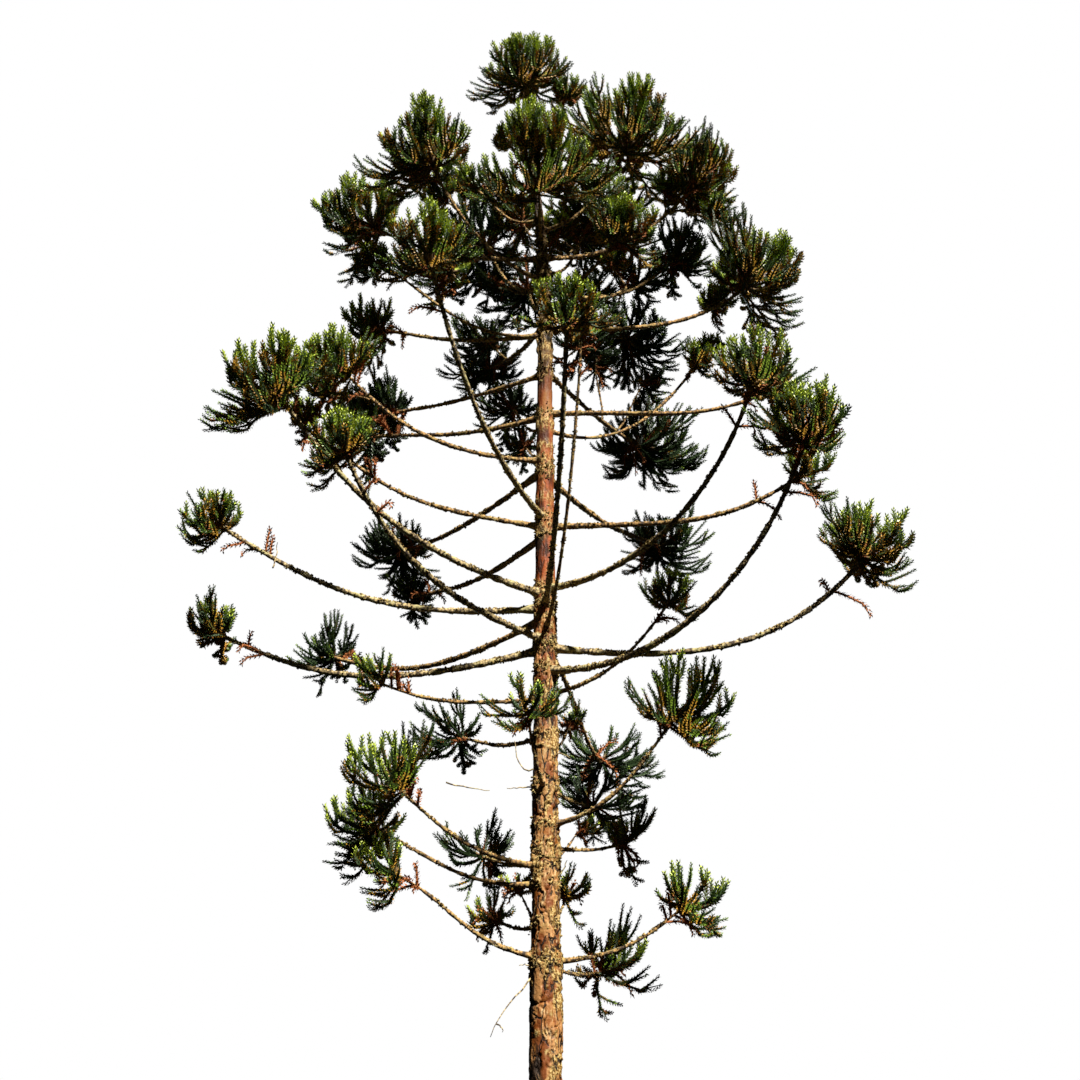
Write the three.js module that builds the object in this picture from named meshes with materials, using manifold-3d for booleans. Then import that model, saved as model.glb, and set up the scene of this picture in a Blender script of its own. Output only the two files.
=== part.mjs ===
// A candelabra araucaria (Parana pine) about 17 m tall: a straight trunk with whorls of long bare limbs that
// sweep out and turn up at their ends, each carrying a tuft of rope-like shoots.
// Millimetres, +Z up. The origin is the middle of the flat cut under the trunk, at ground level.
// A heading is counted from +X (0) towards +Y (90), so -90 is the side that faces the viewer of the photo.
import * as THREE from "three";
import { mergeVertices } from "three/addons/utils/BufferGeometryUtils.js";
import Module from "manifold-3d";

const wasm = await Module();
wasm.setup();

// Trunk
const TRUNK_HEIGHT = 16000;
const TRUNK_SIDES = 10;
const TRUNK_RADIUS = 200; // above the root flare, carried down to the ground
const TAPER_HEIGHT = 18000; // where the taper would run out to nothing
const TAPER_POWER = 0.82;
const FLARE = 85; // how far the roots spread past the trunk at the ground
const FLARE_HEIGHT = 300; // the flare falls to a third over this height
const FLARE_LOBES = 5;
const FLARE_RIDGE = 0.3; // share of the flare that stands in its lobes
const FLARE_RINGS = [0, 120, 300, 600, 1100, 1900, 3000, 4200];
const LEAN_START = 12500; // the leader bends to the left above this height
const LEAN = 240; // how far the trunk's tip stands to the left
const WHORLS = [
  5290, 5650, 6150, 6650, 7080, 7630, 8100, 8630, 9160, 10070, 10850, 11500,
  12090, 12680, 13200, 13750, 14600, 15300,
];
const WHORL_SWELL = 1.06;

// Limbs
const LIMB_RADIUS = 15; // of a limb with no reach
const LIMB_RADIUS_PER_REACH = 0.0085;
const LIMB_TIP_SHARE = 0.62; // radius at the tip over radius at the trunk
const LIMB_RUN_OUT = 0.5; // share of its reach over which a limb runs out level
const LIMB_TURN_UP = 0.36; // share of its reach over which its end turns up
const BOUGH_SIDES = 5;
const BOUGH_STEPS = 7;
const STEM_SIDES = 4; // of a shorter limb, which is one piece with its mass
const STEM_STEPS = 4;
const MASS_STEM_SIDES = 3; // of the stem that a mass takes up from its bough
const MASS_STEM_STEPS = 2;
const GAP = 0.3; // left between a limb and what carries it

// Masses of foliage: a tuft of sprays standing out of a small heart round the end of a stem
const STEM_BACK = 0.8; // a mass starts this share of its radius before its middle
const STEM_SHORT = 0.24; // and its stem ends this share short of its middle, inside the heart
const HEART_SHARE = 0.24; // radius of the heart over that of the mass
const HEART_BACK = 0.34; // the heart lies this share of the mass's radius short of its middle
const HEART_ROUGHNESS = 0.12; // how far its corners stand in or out
const LARGE_MASS = 470; // a mass of this radius or more has a heart of 32 faces, a smaller one 20
const SPRAY_RADIUS = 54; // over the needles
const SPRAY_REACH = 114; // degrees off the upright end of the stem within which sprays grow
const SPRAY_LIFT = 0.85; // how far the tuft leans from the stem's direction towards straight up
const SPRAY_GATHER = 0.26; // how far the sprays lean in to the tuft's own direction
const SPRAY_RISE = 0.22; // how far a spray's tip turns up, as a share of its length
const SPRAY_SAG = 0.07; // how far its middle hangs, as a share of its length
const LOW_RING = { along: 0.4, width: 0.8 }; // where a spray's rings lie and how wide they are
const HIGH_RING = { along: 0.75, width: 1 };
const LENGTH_SHARE = [0.88, 1.08]; // of the way to the outline of the mass
const SHORTEST_SPRAY = 120;
const BARE_SHARE = 0.1; // of the places for sprays
const CLEARANCE = 8; // left round every limb, heart and spray of another node
const SEED = 7300;

// Links in the chain of rods that keeps the room of each thing
const TRUNK_LINKS = 40;
const LIMB_LINKS = 12;
const STEM_LINKS = 3;
const SPRAY_LINKS = 3;

const BARK = { color: 0x8c6a48, roughness: 0.95, metalness: 0 };
const LIMB_BARK = { color: 0x9a835c, roughness: 0.95, metalness: 0 };
const NEEDLES = { color: 0x3f5a26, roughness: 0.7, metalness: 0 };

const UP = new THREE.Vector3(0, 0, 1);
const radians = THREE.MathUtils.degToRad;

// One limb: where it leaves the trunk, which way it heads, how far out and up the middle of its mass lies,
// how far it dips on the way, the radius of its mass, and how steeply it points up at its end.
function limb(name, from, heading, reach, rise, radius, lift, dip = 0) {
  return { name, from, heading, reach, rise, radius, lift, dip };
}

// The long boughs, each a node with a mass at its end.
const BOUGHS = [
  limb("right_lower", 8360, -42, 3470, 1650, 510, 68, 560),
  limb("left_lower", 8600, 172, 3750, 460, 430, 28, 400),
  limb("front_left_lower", 8700, -127, 3270, 960, 400, 52, 150),
  limb("right_middle", 8620, -8, 3550, 980, 570, 50, 330),
  limb("left_middle", 9080, -177, 3690, 980, 440, 32, 220),
  limb("front_left_middle", 9240, -142, 3520, 1360, 620, 45, 60),
  limb("front_middle", 9120, -86, 3010, 1790, 450, 62, 60),
  limb("front_right_middle", 9310, -46, 3060, 1420, 540, 66, 380),
  limb("front_left_upper", 10160, -115, 2860, 1800, 520, 58),
];

// The shorter limbs, each one node with its mass.
const TUFTS = [
  limb("low_front_left", 5330, -157, 1700, 690, 390, 15),
  limb("low_right", 5290, -8, 1500, 600, 470, 38),
  limb("low_back_right", 5260, 46, 1000, 110, 500, 15, 60),
  limb("low_back_left", 5650, 127, 1000, 240, 320, 15),
  limb("second_left", 6060, 178, 1880, 600, 520, 18, 60),
  limb("second_front_left", 6230, -156, 1760, 730, 570, 35),
  limb("second_back_left", 6300, 130, 1170, 310, 400, 18),
  limb("second_right", 6430, 18, 1000, 180, 400, 20),
  limb("third_right", 6660, -26, 1590, 1060, 650, 45),
  limb("third_back_right", 7090, 59, 1170, 90, 450, 12, 60),
  limb("third_front", 7040, -100, 1120, 530, 370, 42),
  limb("fourth_back_left", 7630, 131, 1590, 430, 430, 20),
  limb("fourth_left", 8020, -177, 1820, 190, 360, 22, 60),
  limb("fourth_right", 8080, -24, 1480, 880, 350, 50),
  limb("fifth_back_right", 8660, 71, 2220, -620, 540, 10, 120),
  limb("sixth_back_left", 8960, 140, 3430, 500, 430, 25, 260),
  limb("seventh_back_left", 9960, 123, 3090, 450, 350, 15, 60),
  limb("seventh_left", 10060, -161, 2400, 560, 420, 35),
  limb("seventh_right", 10060, -18, 2950, 220, 380, 30, 160),
  limb("eighth_back_right", 10720, 60, 3110, 420, 520, 12, 60),
  limb("eighth_back_left", 10790, 126, 3230, 240, 540, 12, 60),
  limb("left_upper", 10900, -170, 2400, 1050, 520, 48, 60),
  limb("ninth_back_left", 11490, 156, 2500, 310, 510, 8, 60),
  limb("ninth_right", 11520, -9, 2650, 90, 350, 22, 60),
  limb("tenth_back_left", 12060, 149, 2380, 200, 500, 10),
  limb("tenth_back_right", 12120, 60, 2770, 260, 680, 10),
  limb("eleventh_left", 12610, 167, 2200, 440, 460, 18),
  limb("eleventh_right", 12680, 0, 2600, 780, 750, 42),
  limb("eleventh_back", 12780, 112, 2060, 520, 480, 15),
  limb("twelfth_back_right", 13040, 56, 2100, 640, 620, 20),
  limb("twelfth_front_right", 13130, -30, 1130, 600, 500, 42),
  limb("twelfth_right", 13240, 26, 1940, 1160, 470, 50),
  limb("twelfth_back", 13330, 130, 1280, 1400, 740, 55),
  limb("twelfth_back_left", 13100, 103, 1130, 930, 560, 32),
  limb("twelfth_back_upper", 13560, 50, 1080, 1500, 780, 58),
  limb("crown_front_left", 13380, -148, 1680, 1260, 720, 58),
  limb("crown_left", 13700, 178, 2260, 640, 680, 30),
  limb("crown_right", 13720, 5, 2010, 1350, 640, 52),
  limb("crown_front", 13950, -92, 900, 480, 850, 62),
  limb("crown_front_right", 14120, -15, 1200, 1280, 850, 68),
];
const LEADER = { name: "leader", radius: 610, rise: 640, lift: 84, thinner: 0.9 };

function seeded(seed) {
  let state = seed >>> 0;
  return () => {
    state = (state + 0x6d2b79f5) | 0;
    let mixed = Math.imul(state ^ (state >>> 15), 1 | state);
    mixed = (mixed + Math.imul(mixed ^ (mixed >>> 7), 61 | mixed)) ^ mixed;
    return ((mixed ^ (mixed >>> 14)) >>> 0) / 4294967296;
  };
}

function trunkRadius(height) {
  const taper = Math.max(0, 1 - height / TAPER_HEIGHT);
  return TRUNK_RADIUS * Math.pow(taper, TAPER_POWER);
}

function trunkCentre(height) {
  const bend = Math.max(0, (height - LEAN_START) / (TRUNK_HEIGHT - LEAN_START));
  return new THREE.Vector3(-LEAN * bend * bend, 0, height);
}

// The heights of the trunk's rings: the flare, the whorls and the tip.
function trunkRings() {
  return [...FLARE_RINGS, ...WHORLS, TRUNK_HEIGHT];
}

function trunkGeometry(grow = 0) {
  const rings = trunkRings();
  const steps = rings.length - 1;
  const geometry = new THREE.CylinderGeometry(1, 1, 1, TRUNK_SIDES, steps);
  const position = geometry.getAttribute("position");
  for (let i = 0; i < position.count; i += 1) {
    const across = Math.hypot(position.getX(i), position.getZ(i));
    const angle = Math.atan2(position.getX(i), position.getZ(i));
    const ring = Math.round((position.getY(i) + 0.5) * steps);
    const height = rings[ring];
    const lobes = 1 + FLARE_RIDGE * Math.cos(FLARE_LOBES * angle);
    const flare = FLARE * Math.exp(-height / FLARE_HEIGHT) * lobes;
    const swell = WHORLS.includes(height) ? WHORL_SWELL : 1;
    const radius = across * (trunkRadius(height) * swell + flare + grow);
    const centre = trunkCentre(height);
    const x = centre.x + Math.cos(angle) * radius;
    const y = centre.y + Math.sin(angle) * radius;
    position.setXYZ(i, x, y, height);
  }
  return geometry;
}

// A stretch of another curve, from one share of its length to another.
class Stretch extends THREE.Curve {
  constructor(curve, from, to) {
    super();
    this.curve = curve;
    this.from = from;
    this.to = to;
  }

  getPoint(t, target = new THREE.Vector3()) {
    const share = Math.min(1, this.from + (this.to - this.from) * t);
    return this.curve.getPointAt(share, target);
  }
}

// A round tapering limb along a curve, cut flat at both ends.
function tube(curve, sides, steps, radiusAt) {
  const geometry = new THREE.CylinderGeometry(1, 1, 1, sides, steps);
  const frames = curve.computeFrenetFrames(steps, false);
  const position = geometry.getAttribute("position");
  const point = new THREE.Vector3();
  for (let i = 0; i < position.count; i += 1) {
    const angle = Math.atan2(position.getX(i), position.getZ(i));
    const ring = Math.round((position.getY(i) + 0.5) * steps);
    const radius = Math.hypot(position.getX(i), position.getZ(i)) * radiusAt(ring / steps);
    curve.getPointAt(ring / steps, point);
    point.addScaledVector(frames.normals[ring], Math.cos(angle) * radius);
    point.addScaledVector(frames.binormals[ring], Math.sin(angle) * radius);
    position.setXYZ(i, point.x, point.y, point.z);
  }
  return geometry;
}

function solidOf(geometry, origin) {
  const plain = geometry.clone().translate(-origin.x, -origin.y, -origin.z);
  plain.deleteAttribute("normal");
  plain.deleteAttribute("uv");
  const merged = mergeVertices(plain, 1e-4);
  const mesh = new wasm.Mesh({
    numProp: 3,
    vertProperties: merged.getAttribute("position").array,
    triVerts: new Uint32Array(merged.index.array),
  });
  return new wasm.Manifold(mesh);
}

function meshOf(name, solid, origin, finish) {
  const { vertProperties, triVerts } = solid.getMesh();
  const geometry = new THREE.BufferGeometry();
  geometry.setAttribute("position", new THREE.BufferAttribute(vertProperties, 3));
  geometry.setIndex(new THREE.BufferAttribute(triVerts, 1));
  geometry.computeVertexNormals();
  const mesh = new THREE.Mesh(geometry, new THREE.MeshStandardMaterial(finish));
  mesh.name = name;
  mesh.position.copy(origin);
  return mesh;
}

function outward(heading) {
  return new THREE.Vector3(Math.cos(radians(heading)), Math.sin(radians(heading)), 0);
}

// The direction of a limb's end: along its heading, turned up by its lift.
function endDirection(row) {
  const direction = outward(row.heading).multiplyScalar(Math.cos(radians(row.lift)));
  return direction.addScaledVector(UP, Math.sin(radians(row.lift)));
}

// A limb's middle line, from the trunk's middle to the end of the stem inside its mass.
function limbPath(row) {
  const start = trunkCentre(row.from);
  const out = outward(row.heading);
  const end = endDirection(row);
  const middle = start.clone().addScaledVector(out, row.reach).addScaledVector(UP, row.rise);
  const tip = middle.clone().addScaledVector(end, -STEM_SHORT * row.radius);
  const runOut = start.clone().addScaledVector(out, LIMB_RUN_OUT * row.reach);
  runOut.addScaledVector(UP, -row.dip);
  const turnUp = tip.clone().addScaledVector(end, -LIMB_TURN_UP * row.reach);
  const curve = new THREE.CubicBezierCurve3(start, runOut, turnUp, tip);
  const length = curve.getLength();
  const massFrom = 1 - ((STEM_BACK - STEM_SHORT) * row.radius) / length;
  const thick = LIMB_RADIUS + LIMB_RADIUS_PER_REACH * row.reach;
  const radiusAt = (share) => thick * (1 - (1 - LIMB_TIP_SHARE) * share);
  return { ...row, curve, length, middle, end, massFrom, thick, radiusAt };
}

function leaderPath() {
  const foot = trunkCentre(TRUNK_HEIGHT).addScaledVector(UP, GAP);
  const end = endDirection({ heading: 180, lift: LEADER.lift });
  const middle = foot.clone().addScaledVector(UP, LEADER.rise);
  const curve = new THREE.LineCurve3(foot, middle.clone().addScaledVector(UP, -STEM_SHORT * LEADER.radius));
  const thick = trunkRadius(TRUNK_HEIGHT) * LEADER.thinner;
  const radiusAt = (share) => thick * (1 - (1 - LIMB_TIP_SHARE) * share);
  return { ...LEADER, curve, middle, end, massFrom: 0, thick, radiusAt };
}

// Links of a chain of round-ended rods round a curve, to test what comes near it.
function chain(owner, curve, links, radiusAt) {
  const rods = [];
  for (let i = 0; i < links; i += 1) {
    const from = i / links;
    const to = (i + 1) / links;
    const radius = Math.max(radiusAt(from), radiusAt(to));
    rods.push({ owner, a: curve.getPointAt(from), b: curve.getPointAt(to), radius });
  }
  return rods;
}

// The least distance between two straight rods' middle lines.
function rodDistance(first, second) {
  const d1 = first.b.clone().sub(first.a);
  const d2 = second.b.clone().sub(second.a);
  const r = first.a.clone().sub(second.a);
  const a = d1.lengthSq();
  const e = d2.lengthSq();
  const f = d2.dot(r);
  const c = d1.dot(r);
  const b = d1.dot(d2);
  const denominator = a * e - b * b;
  const clamp = (value) => THREE.MathUtils.clamp(value, 0, 1);
  let s = denominator > 1e-9 ? clamp((b * f - c * e) / denominator) : 0;
  const t = e > 0 ? clamp((b * s + f) / e) : 0;
  s = a > 0 ? clamp((b * t - c) / a) : 0;
  const p = first.a.clone().addScaledVector(d1, s);
  const q = second.a.clone().addScaledVector(d2, t);
  return p.distanceTo(q);
}

function touches(rods, placed, owner) {
  return rods.some((rod) =>
    placed.some((other) => {
      if (other.owner === owner) return false;
      const room = rod.radius + other.radius + CLEARANCE;
      const far = rod.a.distanceTo(other.a) - rod.a.distanceTo(rod.b) - other.a.distanceTo(other.b);
      return far < room && rodDistance(rod, other) < room;
    }),
  );
}

// The middle and the radius of each mass's heart, with room left round every other node's limb.
function growHearts(paths, placed) {
  const hearts = new Map();
  for (const path of paths) {
    const centre = path.middle.clone().addScaledVector(path.end, -HEART_BACK * path.radius);
    const radius = HEART_SHARE * path.radius;
    const rod = { owner: path.name, a: centre, b: centre, radius: radius * (1 + HEART_ROUGHNESS) };
    if (touches([rod], placed, path.name)) continue;
    hearts.set(path.name, { centre, radius });
    placed.push(rod);
  }
  return hearts;
}

// The three-cornered faces of a rough ball, turned so that its pole lies along the tuft.
function heartFaces({ centre, radius }, path, random) {
  const large = path.radius >= LARGE_MASS;
  const ball = large ? new THREE.OctahedronGeometry(1, 1) : new THREE.IcosahedronGeometry(1, 0);
  const turn = new THREE.Quaternion().setFromUnitVectors(UP, tuftDirection(path));
  turn.multiply(new THREE.Quaternion().setFromAxisAngle(UP, random() * 2 * Math.PI));
  const position = ball.getAttribute("position");
  const corners = new Map();
  const faces = [];
  for (let i = 0; i < position.count; i += 1) {
    const corner = new THREE.Vector3().fromBufferAttribute(position, i);
    const key = corner.toArray().map((value) => Math.round(value * 100)).join();
    if (!corners.has(key)) {
      const reach = radius * (1 + HEART_ROUGHNESS * (random() * 2 - 1));
      corners.set(key, corner.applyQuaternion(turn).multiplyScalar(reach).add(centre));
    }
    if (i % 3 === 0) faces.push([]);
    faces.at(-1).push(corners.get(key));
  }
  return faces;
}

function solidOfTriangles(triangles, origin) {
  const geometry = new THREE.BufferGeometry().setFromPoints(triangles.flat());
  geometry.setIndex([...Array(triangles.length * 3).keys()]);
  return solidOf(geometry, origin);
}

// The direction of a tuft: its stem's end, leaning towards the light.
function tuftDirection(path) {
  return path.end.clone().addScaledVector(UP, SPRAY_LIFT).normalize();
}

// How far it is from a point, along a direction, to where it leaves a ball.
function wayOut(point, direction, centre, radius) {
  const offset = point.clone().sub(centre);
  const half = offset.dot(direction);
  return -half + Math.sqrt(Math.max(0, half * half + radius * radius - offset.lengthSq()));
}

// The curve of the spray on one face of a heart, or null where none grows: it leaves the face square,
// gathers towards the tuft's direction, ends on the round outline of the mass, and turns up.
function sprayCurve(path, face, random) {
  const [a, b, c] = face;
  const foot = new THREE.Triangle(a, b, c).getMidpoint(new THREE.Vector3());
  const normal = new THREE.Triangle(a, b, c).getNormal(new THREE.Vector3());
  const along = tuftDirection(path);
  const [bare, share] = [random() < BARE_SHARE, random()];
  if (bare || normal.angleTo(along) > radians(SPRAY_REACH)) return null;
  const direction = normal.clone().addScaledVector(along, SPRAY_GATHER).normalize();
  const outline = path.radius * THREE.MathUtils.lerp(LENGTH_SHARE[0], LENGTH_SHARE[1], share);
  const length = wayOut(foot, direction, path.middle, outline);
  if (length < SHORTEST_SPRAY) return null;
  const bend = foot.clone().addScaledVector(direction, length * 0.5);
  bend.addScaledVector(UP, -length * SPRAY_SAG);
  const tip = foot.clone().addScaledVector(direction, length * (1 - SPRAY_SAG));
  tip.addScaledVector(UP, length * SPRAY_RISE * (1 - Math.abs(direction.z)));
  return new THREE.QuadraticBezierCurve3(foot, bend, tip);
}

// Every mass grows the spray of one face in turn, so that none takes its neighbour's room.
function growSprays(paths, hearts, placed) {
  const tufts = new Map();
  for (const [i, path] of paths.entries()) {
    const random = seeded(SEED + i);
    const heart = hearts.get(path.name);
    const faces = heart ? heartFaces(heart, path, random) : [];
    const sprays = faces.map((face) => ({ face, curve: sprayCurve(path, face, random) }));
    tufts.set(path.name, { faces, sprays });
  }
  const most = Math.max(...[...tufts.values()].map((tuft) => tuft.faces.length));
  for (let index = 0; index < most; index += 1) {
    for (const path of paths) {
      const spray = tufts.get(path.name).sprays[index];
      if (!spray?.curve) continue;
      const rods = chain(path.name, spray.curve, SPRAY_LINKS, () => SPRAY_RADIUS);
      if (touches(rods, placed, path.name)) spray.curve = null;
      else placed.push(...rods);
    }
  }
  return tufts;
}

// The corners of a spray's ring: those of its face, carried along the curve and set to one width.
// A turned ring has its corners between them, so that the rings stand out as teeth.
function sprayRing({ face, curve }, { along, width }, turned) {
  const point = curve.getPointAt(along);
  const tangent = curve.getTangentAt(along);
  return face.map((corner, i) => {
    const toward = turned ? face[(i + 2) % 3] : corner;
    const offset = toward.clone().sub(curve.v0).projectOnPlane(tangent).setLength(width * SPRAY_RADIUS);
    return point.clone().addScaledVector(offset, turned ? -1 : 1);
  });
}

// A spray of needles: three-sided, from its face through two rings to a point.
function sprayTriangles(spray) {
  const foot = spray.face;
  const low = sprayRing(spray, LOW_RING, false);
  const high = sprayRing(spray, HIGH_RING, true);
  const tip = spray.curve.v2;
  const triangles = [[foot[0], foot[2], foot[1]]];
  for (let i = 0; i < 3; i += 1) {
    const next = (i + 1) % 3;
    triangles.push([foot[i], foot[next], low[next]], [foot[i], low[next], low[i]]);
    triangles.push([low[i], low[next], high[i]], [low[next], high[next], high[i]]);
    triangles.push([high[i], high[next], tip]);
  }
  return triangles;
}

function boughSolid(path, origin) {
  const stretch = new Stretch(path.curve, 0, path.massFrom);
  const radiusAt = (share) => path.radiusAt(share * path.massFrom);
  return solidOf(tube(stretch, BOUGH_SIDES, BOUGH_STEPS, radiusAt), origin);
}

function stemSolid(path, from, sides, steps, origin) {
  const stretch = new Stretch(path.curve, from, 1);
  const radiusAt = (share) => path.radiusAt(from + (1 - from) * share);
  return solidOf(tube(stretch, sides, steps, radiusAt), origin);
}

// A stem with its heart and its sprays fused on. A hollow sealed between them is filled, and a loose
// scrap is dropped.
function massSolid(stem, tuft, origin) {
  let mass = stem;
  if (tuft.faces.length > 0) {
    let crown = solidOfTriangles(tuft.faces, origin);
    for (const spray of tuft.sprays) {
      if (spray.curve) crown = crown.add(solidOfTriangles(sprayTriangles(spray), origin));
    }
    mass = mass.add(crown);
  }
  const shells = mass.decompose();
  return shells.reduce((most, shell) => (shell.volume() > most.volume() ? shell : most));
}

function whole(vector) {
  return new THREE.Vector3(Math.round(vector.x), Math.round(vector.y), Math.round(vector.z));
}

const group = new THREE.Group();
const ground = new THREE.Vector3();
group.add(meshOf("trunk", solidOf(trunkGeometry(), ground), ground, BARK));

const boughPaths = BOUGHS.map(limbPath);
const tuftPaths = TUFTS.map(limbPath);
const leader = leaderPath();
const paths = [...boughPaths, ...tuftPaths, leader];

// The room that the trunk and the limbs take: a mass may touch its own stem but not its bough.
const trunkLine = new THREE.CatmullRomCurve3(trunkRings().map(trunkCentre));
const trunkReach = (share) => trunkRadius(share * TRUNK_HEIGHT) * WHORL_SWELL;
const placed = chain("trunk", trunkLine, TRUNK_LINKS, trunkReach);
for (const path of paths) {
  const bare = new Stretch(path.curve, 0, path.massFrom);
  const stem = new Stretch(path.curve, path.massFrom, 1);
  const owner = boughPaths.includes(path) ? "bough_" + path.name : path.name;
  if (path.massFrom > 0) placed.push(...chain(owner, bare, LIMB_LINKS, () => path.thick));
  placed.push(...chain(path.name, stem, STEM_LINKS, () => path.thick));
}
const tufts = growSprays(paths, growHearts(paths, placed), placed);

for (const path of boughPaths) {
  const origin = whole(path.curve.getPointAt(path.massFrom));
  const bough = boughSolid(path, origin).subtract(solidOf(trunkGeometry(GAP), origin));
  group.add(meshOf("bough_" + path.name, bough, origin, LIMB_BARK));
  const stem = stemSolid(path, path.massFrom + GAP / path.length, MASS_STEM_SIDES, MASS_STEM_STEPS, origin);
  const mass = massSolid(stem, tufts.get(path.name), origin);
  group.add(meshOf("foliage_" + path.name, mass, origin, NEEDLES));
}
for (const path of tuftPaths) {
  const origin = whole(path.middle);
  const trunk = solidOf(trunkGeometry(GAP), origin);
  const stem = stemSolid(path, 0, STEM_SIDES, STEM_STEPS, origin).subtract(trunk);
  const mass = massSolid(stem, tufts.get(path.name), origin);
  group.add(meshOf("foliage_" + path.name, mass, origin, NEEDLES));
}
const leaderOrigin = whole(leader.middle);
const leaderStem = stemSolid(leader, 0, MASS_STEM_SIDES, MASS_STEM_STEPS, leaderOrigin);
const leaderMass = massSolid(leaderStem, tufts.get(leader.name), leaderOrigin);
group.add(meshOf("foliage_leader", leaderMass, leaderOrigin, NEEDLES));

export default group;
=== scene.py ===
"""The looks of a candelabra araucaria: barked trunk, knobbly limbs and tufts of needled shoots.

The limbs and the sprays of the tufts follow the rule of the solids, written again here in millimetres, and
each spray goes on into finer needled shoots within the same round outline. Meshes are written in metres.
"""

from __future__ import annotations

import logging
import math
from dataclasses import dataclass, field
from enum import Enum
from itertools import product, zip_longest

import bpy
import numpy as np
from bpy.types import Material, Mesh, Node, NodeSocket, NodeTree, Object
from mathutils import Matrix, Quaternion, Vector
from numpy.random import Generator, default_rng

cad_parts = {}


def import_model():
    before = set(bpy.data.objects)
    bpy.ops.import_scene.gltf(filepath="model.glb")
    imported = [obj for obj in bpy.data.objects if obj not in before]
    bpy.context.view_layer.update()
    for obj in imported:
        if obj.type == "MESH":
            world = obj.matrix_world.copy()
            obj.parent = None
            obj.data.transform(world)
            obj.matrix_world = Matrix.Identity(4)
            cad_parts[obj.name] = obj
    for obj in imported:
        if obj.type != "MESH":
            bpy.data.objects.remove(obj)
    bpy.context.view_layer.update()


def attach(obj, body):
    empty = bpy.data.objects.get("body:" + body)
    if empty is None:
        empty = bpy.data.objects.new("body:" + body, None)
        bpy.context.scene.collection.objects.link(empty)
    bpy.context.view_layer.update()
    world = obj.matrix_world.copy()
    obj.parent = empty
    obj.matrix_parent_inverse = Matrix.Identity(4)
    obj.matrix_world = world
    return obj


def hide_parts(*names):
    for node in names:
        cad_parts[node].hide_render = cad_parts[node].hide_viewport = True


Array = np.ndarray
Span = tuple[float, float]
Triple = tuple[float, float, float]

LOG = logging.getLogger("araucaria")

METRES = 0.001  # metres in a millimetre
UP = np.array([0.0, 0.0, 1.0])
GOLDEN_ANGLE = math.radians(137.508)
BEHIND = 850.0  # depth past which a tuft counts as behind the trunk

# The rule of the solids, with the names it has there
LIMB_RADIUS = 15.0  # of a limb with no reach
LIMB_RADIUS_PER_REACH = 0.0085
LIMB_TIP_SHARE = 0.62  # radius at the tip over radius at the trunk
LIMB_RUN_OUT = 0.5  # share of its reach over which a limb runs out level
LIMB_TURN_UP = 0.36  # share of its reach over which its end turns up
STEM_BACK = 0.8  # a mass starts this share of its radius before its middle
STEM_SHORT = 0.24  # and its stem ends this share short of its middle, inside the heart
LEADER_THINNER = 0.9  # radius of the leader over that of the trunk's tip
WOOD_SHARE = 0.8  # radius of a limb's own wood over that of its solid, which has to be sturdy
HEART_SHARE = 0.24  # radius of the heart over that of the mass
HEART_BACK = 0.34  # the heart lies this share of the mass's radius short of its middle
HEART_ROUGHNESS = 0.12  # how far its corners stand in or out
CORNER_GRID = 100.0  # corners of the heart that are the same to a hundredth are moved as one
LARGE_MASS = 470.0  # a mass of this radius or more has a heart of 32 faces, a smaller one 20
SPRAY_RADIUS = 54.0  # over the needles
SPRAY_REACH = math.radians(114.0)  # off the tuft's direction, within which sprays grow
SPRAY_LIFT = 0.85  # how far the tuft leans from the stem's direction towards straight up
SPRAY_GATHER = 0.26  # how far the sprays lean in to the tuft's own direction
SPRAY_RISE = 0.22  # how far a spray's tip turns up, as a share of its length
SPRAY_SAG = 0.07  # how far its middle hangs, as a share of its length
LENGTH_SHARE = (0.88, 1.08)  # of the way to the outline of the mass
SHORTEST_SPRAY = 120.0
BARE_SHARE = 0.1  # of the places for sprays
CLEARANCE = 8.0  # left round every limb, heart and spray of another node
SEED = 7300
TRUNK_LINKS = 40
LIMB_LINKS = 12
STEM_LINKS = 3
SPRAY_LINKS = 3

# The corners of an eight-sided lump, and the faces between them by their places in that list
OCTAHEDRON = np.array([[1, 0, 0], [-1, 0, 0], [0, 1, 0], [0, -1, 0], [0, 0, 1], [0, 0, -1]], float)
OCTAHEDRON_FACES = "024 043 035 052 125 153 134 142"
LUMP_FACES = "024 214 134 304 205 125 315 035"
ICOSAHEDRON_FACES = "0b5 051 017 07a 0ab 159 5b4 ba2 a76 718 394 342 326 368 389 495 24b 62a 867 981"


def unit(vector: Array) -> Array:
    """Return a vector, or the vector in each row of an array, at length one."""
    length = np.linalg.norm(vector, axis=-1, keepdims=True)
    return vector / np.maximum(length, 1e-9)


def square_to(direction: Array) -> tuple[Array, Array]:
    """Return two directions square to a given one and to each other.

    Args:
        direction: A direction at length one.

    Returns:
        The two directions.
    """
    helper = np.eye(3)[int(abs(direction[0]) >= 0.7)]  # the second axis where the first lies too near
    first = unit(np.cross(direction, helper))
    return first, np.cross(direction, first)


def sideways(direction: Array, turn: float) -> Array:
    """Return the direction square to a given one that lies so many radians round it."""
    first, second = square_to(direction)
    return first * math.cos(turn) + second * math.sin(turn)


def around(turn: Array, first: Array, second: Array) -> Array:
    """Return the directions at some turns, in radians, from the first towards the second."""
    return np.cos(turn)[..., None] * first + np.sin(turn)[..., None] * second


def faces_of(names: str) -> list[list[int]]:
    """Return the faces that a row of names stands for, each the places of its corners."""
    return [[int(digit, 16) for digit in name] for name in names.split()]


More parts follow.
